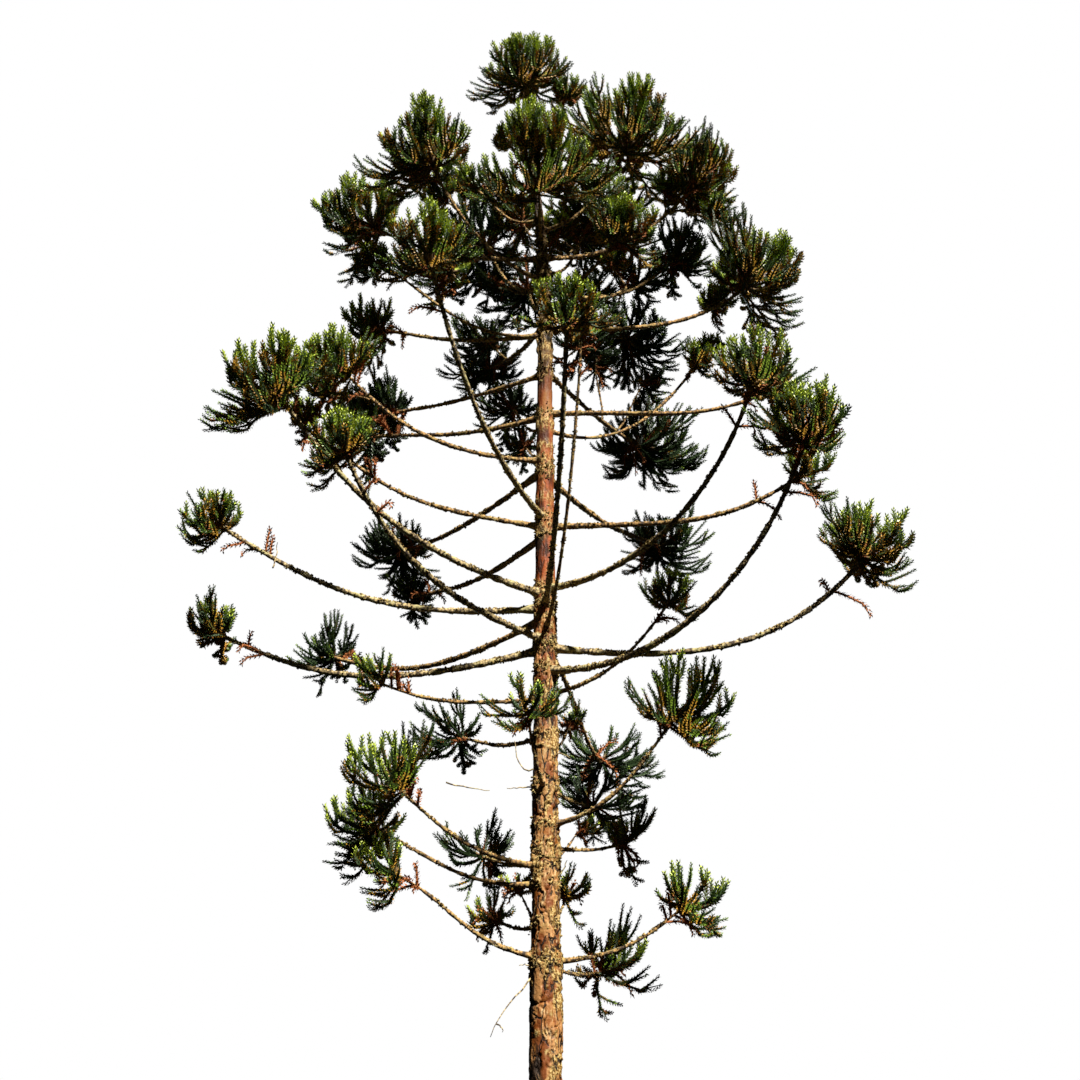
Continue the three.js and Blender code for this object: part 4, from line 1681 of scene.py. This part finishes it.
@dataclass(frozen=True)
class Grain:
    """Seeded smooth noise on the unrolled trunk, closed round the trunk."""

    around: int  # cells round the trunk
    cell: float  # height of a cell, in millimetres

    def at(self, rng: Generator, angle: Array, height: Array) -> Array:
        """Return new noise at each point.

        Args:
            rng: The source of its values.
            angle: The angle of each point round the trunk, in radians.
            height: Its height in millimetres.

        Returns:
            The noise, from -1 to 1.
        """
        values = rng.uniform(-1.0, 1.0, (int(TRUNK.height / self.cell) + 3, self.around))
        across = angle / (2 * math.pi) * self.around
        up = np.clip(height / self.cell, 0, len(values) - 2)
        column, row = np.floor(across).astype(int), np.floor(up).astype(int)
        x, y = across - column, up - row
        x, y = x * x * (3 - 2 * x), y * y * (3 - 2 * y)
        near, far = column % self.around, (column + 1) % self.around
        low = values[row, near] * (1 - x) + values[row, far] * x
        high = values[row + 1, near] * (1 - x) + values[row + 1, far] * x
        return low * (1 - y) + high * y


@dataclass(frozen=True)
class Plates:
    """One layer of bark plates: uneven cells with grooves between them, some plates lifted over others."""

    around: int
    height: float
    stretch: float
    groove_width: float
    groove_depth: float
    lift: float
    below: float = 1.5  # rows of plates that start under the ground

    def relief(
        self, angle: Array, height: Array, rng: Generator
    ) -> tuple[Array, Array, Array]:
        """Lay the plates round the trunk.

        Args:
            angle: The angle of each point round the trunk, in radians.
            height: Its height in millimetres.
            rng: The source of the plates' places and heights.

        Returns:
            How far the bark stands out, how deep in a groove it is, 0 to 1, and its plate's tone, -1 to 1.
        """
        rows = int(TRUNK.height / self.height) + 4
        jitter = rng.uniform(0.0, 1.0, (rows, self.around, 2))
        lift = rng.uniform(-1.0, 1.0, (rows, self.around))
        across = angle / (2 * math.pi) * self.around
        up = height / self.height + self.below
        column, row = np.floor(across).astype(int), np.floor(up).astype(int)
        girth = 2 * math.pi * TRUNK.radius(height) / self.around
        nearest = np.full(angle.shape, 1e9)
        second = nearest.copy()
        lifted = np.zeros(angle.shape)
        for row_step, column_step in product((-1, 0, 1), repeat=2):
            r = np.clip(row + row_step, 0, rows - 1)
            c = (column + column_step) % self.around
            dx = (column + column_step + jitter[r, c, 0] - across) * girth
            dz = (row + row_step + jitter[r, c, 1] - up) * self.height * self.stretch
            distance = np.hypot(dx, dz)
            closer = distance < nearest
            second = np.where(closer, nearest, np.minimum(second, distance))
            lifted = np.where(closer, lift[r, c], lifted)
            nearest = np.where(closer, distance, nearest)
        groove = np.clip(1 - (second - nearest) / self.groove_width, 0, 1)
        return lifted * self.lift - groove * self.groove_depth, groove, lifted


@dataclass
class Trunk:
    """The trunk's mesh: a sheet wrapped round, with plates of bark, whorls, collars and root lobes."""

    around: int = 124
    row_gaps: tuple[Span, ...] = ((4000.0, 40.0), (9300.0, 12.0), (16000.0, 40.0))
    plates: Plates = Plates(8, 390.0, 0.3, 17.0, 17.0, 13.0)
    flakes: Plates = Plates(23, 140.0, 0.38, 8.0, 5.0, 5.0)
    warp: float = 0.24  # radians by which the plates' edges wander round the trunk
    warp_grains: tuple[Grain, Grain] = (Grain(18, 60.0), Grain(40, 30.0))
    warp_height: float = 34.0
    rise_grain: Grain = Grain(22, 55.0)
    strength_grain: Grain = Grain(7, 330.0)
    strength: Triple = (0.85, 0.9, 0.35)  # mean, swing and least strength of the relief
    groove_grain: Grain = Grain(16, 120.0)
    grooves: Span = (0.75, 1.6)  # mean and swing of the grooves' depth
    tones: Triple = (0.5, 0.38, 0.12)  # mean tone, and the parts of the plates and the flakes in it
    crust_side: float = math.radians(-15)  # the heading on which crusts are most
    crust_grains: tuple[Grain, Grain] = (Grain(9, 240.0), Grain(20, 90.0))
    crust_parts: Span = (0.7, 0.3)  # of the fine grain and of the side, next to the coarse grain
    crust_from: float = 0.42
    crust_edge: float = 2.6  # how sharply a crust begins
    crust_rise: float = 5.0
    crust_lumps: float = 6.0
    crust_fill: float = 0.6  # how much of a fissure it fills
    lump_grains: tuple[Grain, Grain] = (Grain(55, 24.0), Grain(34, 46.0))
    smooth_heights: Span = (8300.0, 9300.0)
    rough_heights: Span = (11300.0, 12300.0)
    smooth_share: float = 0.25
    rough_again: float = 0.6  # how much of its relief the bark has again at the top
    bare: float = 0.9  # how much less crust the smooth bark has
    whorl_swell: float = 9.0
    whorl_lumps: Span = (0.35, 0.6)  # added to the grain for a whorl's swelling and for its crust
    whorl_height: float = 55.0
    whorl_grain: Grain = Grain(24, 38.0)
    collar_rise: float = 0.32
    collar_spread: float = 75.0
    merge: float = 0.0002  # metres
    sharp: float = math.radians(60)  # the least angle of an edge that isn't shaded smooth
    seed: int = 11

    def heights(self) -> Array:
        """Return the height of every row, close together where the bark is coarse and near.

        Returns:
            The heights in millimetres, from the ground up.
        """
        rows, start = [np.zeros(1)], 0.0
        for end, gap in self.row_gaps:
            count = round((end - start) / gap)
            rows.append(start + (end - start) * np.arange(1, count + 1) / count)
            start = end
        return np.concatenate(rows)

    def relief(self, angle: Array, height: Array) -> tuple[Array, Array, Array]:
        """Shape the plates and flakes of the bark.

        Args:
            angle: The angle of each point round the trunk.
            height: Its height in millimetres.

        Returns:
            How far the bark stands out, how deep in a groove it is, and the tone of its plate, 0 to 1.
        """
        rng = default_rng(self.seed)
        coarse, fine = (grain.at(rng, angle, height) for grain in self.warp_grains)
        turn = angle + self.warp * (coarse + fine / 2)
        rise = height + self.warp_height * self.rise_grain.at(rng, angle, height)
        out, groove, tone = self.plates.relief(turn, rise, rng)
        flake, _, chip = self.flakes.relief(turn, rise, rng)
        mean, swing, least = self.strength
        strength = np.clip(mean + swing * self.strength_grain.at(rng, angle, height), least, 1.0)
        rough = self.rough_again * ease(height, self.rough_heights)
        smooth = ease(height, self.smooth_heights) * (1 - rough)
        share = strength * (1 - (1 - self.smooth_share) * smooth)
        mean, swing = self.grooves
        broken = np.clip(mean + swing * self.groove_grain.at(rng, angle, height), 0, 1)
        mean, plate, scale = self.tones
        return (out + flake) * share, groove * broken * share, mean + plate * tone + scale * chip

    def crusts(
        self, angle: Array, height: Array, rings: Array
    ) -> tuple[Array, Array]:
        """Lay the crusts of lichen and old bark.

        Args:
            angle: The angle of each point round the trunk.
            height: Its height in millimetres.
            rings: The share of rough bark that the whorls give it.

        Returns:
            How far the crusts stand out, and the share of crust, 0 to 1.
        """
        rng = default_rng(self.seed + 2)
        coarse, fine = (grain.at(rng, angle, height) for grain in self.crust_grains)
        of_fine, of_side = self.crust_parts
        cover = coarse + of_fine * fine + of_side * np.cos(angle - self.crust_side) - self.crust_from
        cover = cover - self.bare * ease(height, self.smooth_heights)
        cover = np.maximum(np.clip(0.5 + self.crust_edge * cover, 0, 1), rings)
        small, large = (grain.at(rng, angle, height) for grain in self.lump_grains)
        return cover * (self.crust_rise + self.crust_lumps * (small + large)), cover

    def whorls(self, angle: Array, height: Array) -> tuple[Array, Array]:
        """Swell the wood at each whorl of limbs and round the foot of each limb.

        Args:
            angle: The angle of each point round the trunk.
            height: Its height in millimetres.

        Returns:
            The swelling in millimetres, and the share of rough lichen-grown bark.
        """
        lumps = self.whorl_grain.at(default_rng(self.seed + 1), angle, height)
        out = np.zeros(angle.shape)
        rough = np.zeros(angle.shape)
        for limb in LONG_LIMBS + SHORT_LIMBS + EXTRA_LIMBS:
            ring = np.exp(-(((height - limb.start) / self.whorl_height) ** 2))
            rough = np.maximum(rough, ring)
            turn = np.angle(np.exp(1j * (angle - math.radians(limb.heading))))
            away = np.hypot(turn * TRUNK.radius(height), height - limb.start) / self.collar_spread
            out = np.maximum(out, limb.thick * self.collar_rise * np.exp(-(away**2)))
        for_swell, for_crust = self.whorl_lumps
        out += rough * self.whorl_swell * (for_swell + lumps)
        return out, rough * np.clip(for_crust + lumps, 0, 1)

    def build(self, finish: TrunkFinish) -> Object:
        """Wrap, shape and close the trunk, and dress it.

        Args:
            finish: The bark's finish.

        Returns:
            The trunk.
        """
        rows = self.heights()
        bpy.ops.object.select_all(action="DESELECT")
        bpy.ops.mesh.primitive_grid_add(x_subdivisions=self.around, y_subdivisions=len(rows) - 1, size=2)
        trunk = bpy.context.object
        trunk.name = trunk.data.name = "trunk_bark"
        self.wrap(trunk.data, rows)
        bpy.ops.object.mode_set(mode="EDIT")
        bpy.ops.mesh.select_all(action="SELECT")
        bpy.ops.mesh.remove_doubles(threshold=self.merge)
        bpy.ops.mesh.fill_holes(sides=0)
        bpy.ops.mesh.select_all(action="SELECT")
        bpy.ops.mesh.normals_make_consistent(inside=False)
        bpy.ops.object.mode_set(mode="OBJECT")
        bpy.ops.object.shade_smooth_by_angle(angle=self.sharp)
        trunk.data.materials.clear()
        trunk.data.materials.append(finish.make())
        LOG.info("trunk_bark: %d faces", len(trunk.data.polygons))
        return trunk

    def wrap(self, mesh: Mesh, rows: Array) -> None:
        """Wrap the flat sheet round the trunk, and keep what the bark's finish reads as attributes.

        Args:
            mesh: The sheet, two units wide and high.
            rows: The height of each of its rows.
        """
        sheet = np.zeros(len(mesh.vertices) * 3)
        mesh.vertices.foreach_get("co", sheet)
        sheet = sheet.reshape(-1, 3)
        angle = (sheet[:, 0] + 1) * math.pi
        height = np.interp((sheet[:, 1] + 1) / 2, np.linspace(0, 1, len(rows)), rows)
        out, groove, tone = self.relief(angle % (2 * math.pi), height)
        swell, rings = self.whorls(angle, height)
        crust, cover = self.crusts(angle % (2 * math.pi), height, rings)
        edge = (height < 1) | (height > TRUNK.height - 1)
        bark = np.where(edge, 0.0, out + crust)
        radius = TRUNK.radius(height) + TRUNK.spread(angle, height) + bark + swell
        place = TRUNK.centre(height)
        place[:, 0] += np.cos(angle) * radius
        place[:, 1] += np.sin(angle) * radius
        mesh.vertices.foreach_set("co", (place * METRES).ravel())
        groove = groove * (1 - self.crust_fill * cover)
        # the fissure depth tells the bark's finish where to paint near-black shade in the grooves
        for name, values in (("fissure", groove), ("crust", cover), ("tone", tone)):
            mesh.attributes.new(name, "FLOAT", "POINT").data.foreach_set("value", values)


@dataclass
class Limbs:
    """A set of limbs, each swept along its curve by hand tools and then roughened, joined into one piece."""

    name: str
    limbs: tuple[Limb, ...]
    rings: int = 110
    slim: float = WOOD_SHARE
    collar: float = 0.75
    collar_length: float = 90.0
    knob: float = 0.24
    knob_spacing: float = 42.0
    samples: int = 240  # points of a limb's middle line, from which its surface is swelled
    seed: int = 23

    def sweep(self, limb: Limb, random: Seeded) -> Object:
        """Make one limb from a Bezier curve with a round bevel, then swell its foot and its knots.

        Args:
            limb: The limb.
            random: The numbers that its knots are drawn from.

        Returns:
            The limb.
        """
        path = limb.path()
        bpy.ops.object.select_all(action="DESELECT")
        bpy.ops.curve.primitive_bezier_curve_add(location=(0, 0, 0))
        curve = bpy.context.object
        curve.data.dimensions = "3D"
        curve.data.resolution_u = self.rings
        curve.data.bevel_depth = METRES  # so that each point's radius is in millimetres
        curve.data.bevel_resolution = 2
        curve.data.use_fill_caps = True
        first, last = curve.data.splines[0].bezier_points
        controls = path.controls * METRES
        if len(controls) == 2:
            controls = np.array([controls[0] + (controls[1] - controls[0]) * s for s in (0, 1 / 3, 2 / 3, 1)])
        for point in (first, last):
            point.handle_left_type = point.handle_right_type = "FREE"
        first.co, first.handle_right, last.handle_left, last.co = controls
        first.handle_left = controls[0] * 2 - controls[1]
        last.handle_right = controls[3] * 2 - controls[2]
        first.radius, last.radius = limb.radii(np.array([0.0, 1.0])) * self.slim
        bpy.ops.object.convert(target="MESH")
        piece = bpy.context.object
        self.roughen(piece, path, limb, random)
        return piece

    def roughen(self, piece: Object, path: Path, limb: Limb, random: Seeded) -> None:
        """Swell a limb's foot into a collar and give it knots.

        Args:
            piece: The smooth limb, which is changed.
            path: The limb's middle line.
            limb: The limb.
            random: The numbers that its knots are drawn from.
        """
        places = np.zeros(len(piece.data.vertices) * 3)
        piece.data.vertices.foreach_get("co", places)
        places = places.reshape(-1, 3) / METRES
        shares = np.linspace(0, 1, self.samples)
        line = path.points(shares)
        nearest = np.argmin(((places[:, None] - line[None]) ** 2).sum(axis=2), axis=1)
        knots = int(path.length / self.knob_spacing)
        heights = np.array([random() for _ in range(knots + 1)])
        swell = 1 + self.knob * np.interp(shares * knots, np.arange(knots + 1), heights * 2 - 1)
        out = np.hypot(line[:, 0] - TRUNK.centre(limb.start)[0], line[:, 1])
        beyond = np.maximum(0.0, out - float(TRUNK.radius(limb.start)))
        swell = swell + self.collar * np.exp(-beyond / self.collar_length)
        places = line[nearest] + (places - line[nearest]) * swell[nearest][:, None]
        piece.data.vertices.foreach_set("co", (places * METRES).ravel())

    def build(self, material: Material) -> Object:
        """Make every limb of the set and join them.

        Args:
            material: The finish of the whole piece.

        Returns:
            The piece.
        """
        made = [self.sweep(limb, Seeded(self.seed + i)) for i, limb in enumerate(self.limbs)]
        bpy.ops.object.select_all(action="DESELECT")
        for piece in made:
            piece.select_set(True)
        bpy.context.view_layer.objects.active = made[0]
        bpy.ops.object.join()
        joined = bpy.context.object
        joined.name = joined.data.name = self.name
        bpy.ops.object.shade_smooth()
        joined.data.materials.clear()
        joined.data.materials.append(material)
        LOG.info("%s: %d faces", self.name, len(joined.data.polygons))
        return joined


@dataclass
class Lumps:
    """Small rough lumps joined into one piece: crusts along the limbs and rings of them round the whorls."""

    name: str
    limbs: tuple[Limb, ...]
    spacing: float  # millimetres of limb to a lump
    sizes: Span = (7.0, 19.0)
    spread: float = math.radians(75)  # how far round from the top of a limb the lumps lie, mostly
    clump: int = 16  # lumps to a clump
    clump_length: float = 45.0
    loose: float = 0.3  # share of the lumps that lie apart from the clumps
    gather: float = 1.2  # over one, so that they lie closer near the trunk
    roughness: Span = (0.55, 1.45)  # of a lump's size, how far its corners stand out
    ring_lumps: int = 0
    ring_sizes: Span = (6.0, 17.0)
    ring_height: float = 42.0
    ring_rise: Span = (4.0, 16.0)  # of the lumps' middles over the trunk
    seed: int = 301

    def add(self, heap: Heap, centres: Array, sizes: Array, rng: Generator) -> None:
        """Add roughened eight-sided lumps.

        Args:
            heap: The heap they go into.
            centres: The middle of each lump.
            sizes: The size of each.
            rng: The source of their roughness.
        """
        corners = len(OCTAHEDRON)
        reach = sizes[:, None, None] * rng.uniform(*self.roughness, (len(centres), corners, 1))
        vertices = centres[:, None] + OCTAHEDRON * reach
        starts = np.arange(len(centres))[:, None, None] * corners
        heap.add(vertices.reshape(-1, 3), (starts + np.array(faces_of(LUMP_FACES))).reshape(-1, 3))

    def cover(self, heap: Heap, limb: Limb, rng: Generator) -> None:
        """Scatter lumps along a limb, in clumps and mostly on its upper side.

        Args:
            heap: The heap they go into.
            limb: The limb.
            rng: The source of their places and sizes.
        """
        path = limb.path()
        count = int(path.length / self.spacing)
        start = float(TRUNK.radius(limb.start)) / path.length
        clumps = rng.uniform(0, 1, 2 + count // self.clump)
        shares = rng.choice(clumps, count) + rng.normal(0, self.clump_length, count) / path.length
        shares = np.where(rng.uniform(0, 1, count) < self.loose, rng.uniform(0, 1, count), shares)
        shares = np.sort(start + (1 - start) * np.clip(shares, 0, 1) ** self.gather)
        tangents = path.tangents(shares)
        side = unit(np.cross(tangents, UP))
        out = around(rng.normal(0, self.spread, count), np.cross(side, tangents), side)
        centres = path.points(shares) + out * (limb.radii(shares) * WOOD_SHARE)[:, None]
        self.add(heap, centres, rng.uniform(*self.sizes, count), rng)

    def ring(self, heap: Heap, start: float, rng: Generator) -> None:
        """Scatter lumps round the trunk at a whorl of limbs.

        Args:
            heap: The heap they go into.
            start: The height of the whorl.
            rng: The source of their places and sizes.
        """
        turn = rng.uniform(0, 2 * math.pi, self.ring_lumps)
        heights = start + rng.normal(0, self.ring_height, self.ring_lumps)
        reach = TRUNK.radius(heights) + rng.uniform(*self.ring_rise, self.ring_lumps)
        out = np.stack([np.cos(turn), np.sin(turn), turn * 0], 1)
        centres = TRUNK.centre(heights) + out * reach[:, None]
        self.add(heap, centres, rng.uniform(*self.ring_sizes, self.ring_lumps), rng)

    def build(self, material: Material) -> Object:
        """Scatter the lumps and join them.

        Args:
            material: The finish of the whole piece.

        Returns:
            The piece.
        """
        rng = default_rng(self.seed)
        heap = Heap(self.name)
        for limb in self.limbs:
            self.cover(heap, limb, rng)
        whorls = sorted({limb.start for limb in self.limbs if not isinstance(limb, Branch)})
        for start in whorls if self.ring_lumps else []:
            self.ring(heap, start, rng)
        return heap.build(material, smooth=False)


@dataclass
class DeadTwigs:
    """The bare dead twigs and stubs, each a bent rod that thins to its tip."""

    radii: Span = (9.0, 3.5)
    rings: int = 9
    sides: int = 6
    wobble: float = 5.0

    def build(self, material: Material) -> Object:
        """Make the twigs one piece.

        Args:
            material: The finish of the whole piece.

        Returns:
            The piece.
        """
        heap = Heap("dead_twigs")
        shares = np.linspace(0, 1, self.rings)
        for i, corners in enumerate(DEAD_TWIGS):
            path = Path(*np.array(corners, float))
            wobble = default_rng(i).normal(0, self.wobble, (self.rings, 3))
            radii = np.linspace(*self.radii, self.rings)
            heap.add(*tube(path.points(shares) + wobble, path.tangents(shares), radii, self.sides))
        return heap.build(material, smooth=True)


@dataclass(frozen=True)
class Sun:
    """A distant light."""

    heading: float  # degrees round the tree, and the next is degrees over the horizon
    height: float
    strength: float
    width: float  # degrees; a wide light throws soft shadows
    colour: Triple

    def hang(self) -> None:
        """Set the light."""
        bpy.ops.object.light_add(type="SUN", location=(0, 0, 30))
        sun = bpy.context.object
        sun.data.energy = self.strength
        sun.data.color = self.colour
        sun.data.angle = math.radians(self.width)
        heading, height = math.radians(self.heading), math.radians(self.height)
        level = math.cos(height)
        towards = Vector((level * math.cos(heading), level * math.sin(heading), math.sin(height)))
        sun.rotation_euler = towards.to_track_quat("Z", "Y").to_euler()


@dataclass(frozen=True)
class Studio:
    """The camera at the photograph's angle, a pale floor, a soft sun and an even pale sky."""

    eye: Triple = (-0.055, -16.3, 1.6)
    look_up: float = 27.0  # degrees, and so is the next
    field_of_view: float = 36.0
    farthest: float = 300.0
    floor_size: float = 60.0
    floor_colour: str = "#8f8c87"
    suns: tuple[Sun, ...] = (
        Sun(-60.0, 47.0, 13.6, 2.0, (1.0, 0.95, 0.86)),
        Sun(97.0, 18.0, 1.4, 20.0, (0.8, 1.0, 1.0)),
    )
    sky_light: float = 0.014  # the sky's strength as a light, while the camera sees it white

    def camera(self) -> None:
        """Place the camera."""
        rotation = (math.pi / 2 + math.radians(self.look_up), 0, 0)
        bpy.ops.object.camera_add(location=self.eye, rotation=rotation)
        camera = bpy.context.object
        camera.data.sensor_width = 36.0
        camera.data.sensor_fit = "HORIZONTAL"
        camera.data.angle = math.radians(self.field_of_view)
        camera.data.clip_end = self.farthest
        bpy.context.scene.camera = camera

    def floor(self) -> None:
        """Lay the floor."""
        bpy.ops.mesh.primitive_plane_add(size=self.floor_size, location=(0, 0, 0))
        floor = bpy.context.object
        floor.name = "floor"
        material, tree, shader = new_material("matt_floor", 0.9, 1.45)
        set_inputs(tree, shader, {"Base Color": linear(self.floor_colour)})
        floor.data.materials.append(material)
        floor.visible_diffuse = floor.visible_glossy = False  # so that it throws no light up into the crown

    def lights(self) -> None:
        """Set the sun, the weak light from behind and the sky."""
        for sun in self.suns:
            sun.hang()
        world = bpy.data.worlds.new("pale_sky")
        world.use_nodes = True
        tree = world.node_tree
        tree.nodes.clear()
        seen = add_node(tree, "ShaderNodeLightPath").outputs["Is Camera Ray"]
        inputs = {"Value": seen, "To Min": self.sky_light, "To Max": 1.0}
        strength = add_node(tree, RANGE, inputs).outputs["Result"]
        inputs = {"Color": (1.0, 1.0, 1.0, 1.0), "Strength": strength}
        sky = add_node(tree, "ShaderNodeBackground", inputs).outputs["Background"]
        add_node(tree, "ShaderNodeOutputWorld", {"Surface": sky})
        bpy.context.scene.world = world
        bpy.context.scene.view_settings.view_transform = "Standard"


def tier_of(limb: Limb) -> Tier:
    """Return the tier that a limb belongs to."""
    return next(tier for tier in TIERS if limb.middle[2] < tier.below)


def place(piece: Object, slot: str, nodes: list[str]) -> None:
    """Let a piece ride on the tree's one body, and hide the solids it stands for.

    Args:
        piece: The piece.
        slot: The name of its slot; not used.
        nodes: The names of the solids, none for a piece that only adds to the tree.
    """
    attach(piece, "root")
    if nodes:
        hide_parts(*nodes)


def main() -> None:
    """Build the tree and its studio."""
    logging.basicConfig(level=logging.INFO, format="%(name)s %(message)s")
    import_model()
    studio = Studio()
    studio.camera()
    studio.floor()
    studio.lights()

    place(Trunk().build(TrunkFinish()), "bark", ["trunk"])
    bark = LimbFinish().make()
    young_bark = LimbFinish("young_limb_bark", light="#a9834b", lichen="#8f7a45").make()
    lichen = LichenFinish().make()
    shorter = SHORT_LIMBS + (LEADER,)
    every_limb = LONG_LIMBS + SHORT_LIMBS + EXTRA_LIMBS
    boughs = [f"bough_{limb.name}" for limb in LONG_LIMBS]
    masses = [f"foliage_{limb.name}" for limb in shorter]
    for shape, material, nodes in (
        (Limbs("long_limbs", LONG_LIMBS), bark, boughs),
        (Limbs("short_limbs", shorter, rings=70, seed=97), young_bark, masses),
        (Limbs("thin_limbs", EXTRA_LIMBS, rings=50, slim=0.62, seed=197), young_bark, []),
        (DeadTwigs(), bark, []),
        (Lumps("lichen_long", LONG_LIMBS, 13.0, ring_lumps=90), lichen, []),
        (Lumps("lichen_short", SHORT_LIMBS, 20.0, ring_lumps=64, seed=302), lichen, []),
        (Lumps("limb_knobs", every_limb, 17.0, (5.0, 13.0), math.pi, seed=303), bark, []),
    ):
        place(shape.build(material), "limb_bark", nodes)

    tufts, room = grow_tufts([*LONG_LIMBS, *SHORT_LIMBS, LEADER], [*EXTRA_LIMBS])
    needles = {finish.tint: finish.make() for finish in NEEDLE_FINISHES}
    wood = TwigFinish().make()
    shoots = 0
    for tier in TIERS:
        foliage = Foliage(tier, room)
        nodes = []
        for i, tuft in enumerate(tufts):
            if tier_of(tuft.limb) is tier:
                foliage.dress(tuft, SEED * 2 + i)
                if tuft.limb not in EXTRA_LIMBS:
                    nodes.append(f"foliage_{tuft.limb.name}")
        place(foliage.twigs.build(wood, smooth=True), "limb_bark", nodes)
        for tint, heap in foliage.heaps.items():
            place(heap.build(needles[tint], smooth=False), "needles", nodes)
        shoots += foliage.shoots
    LOG.info("%d shoots on %d branchlets", shoots, sum(len(tuft.sprays) for tuft in tufts))


if __name__ == "__main__":
    main()
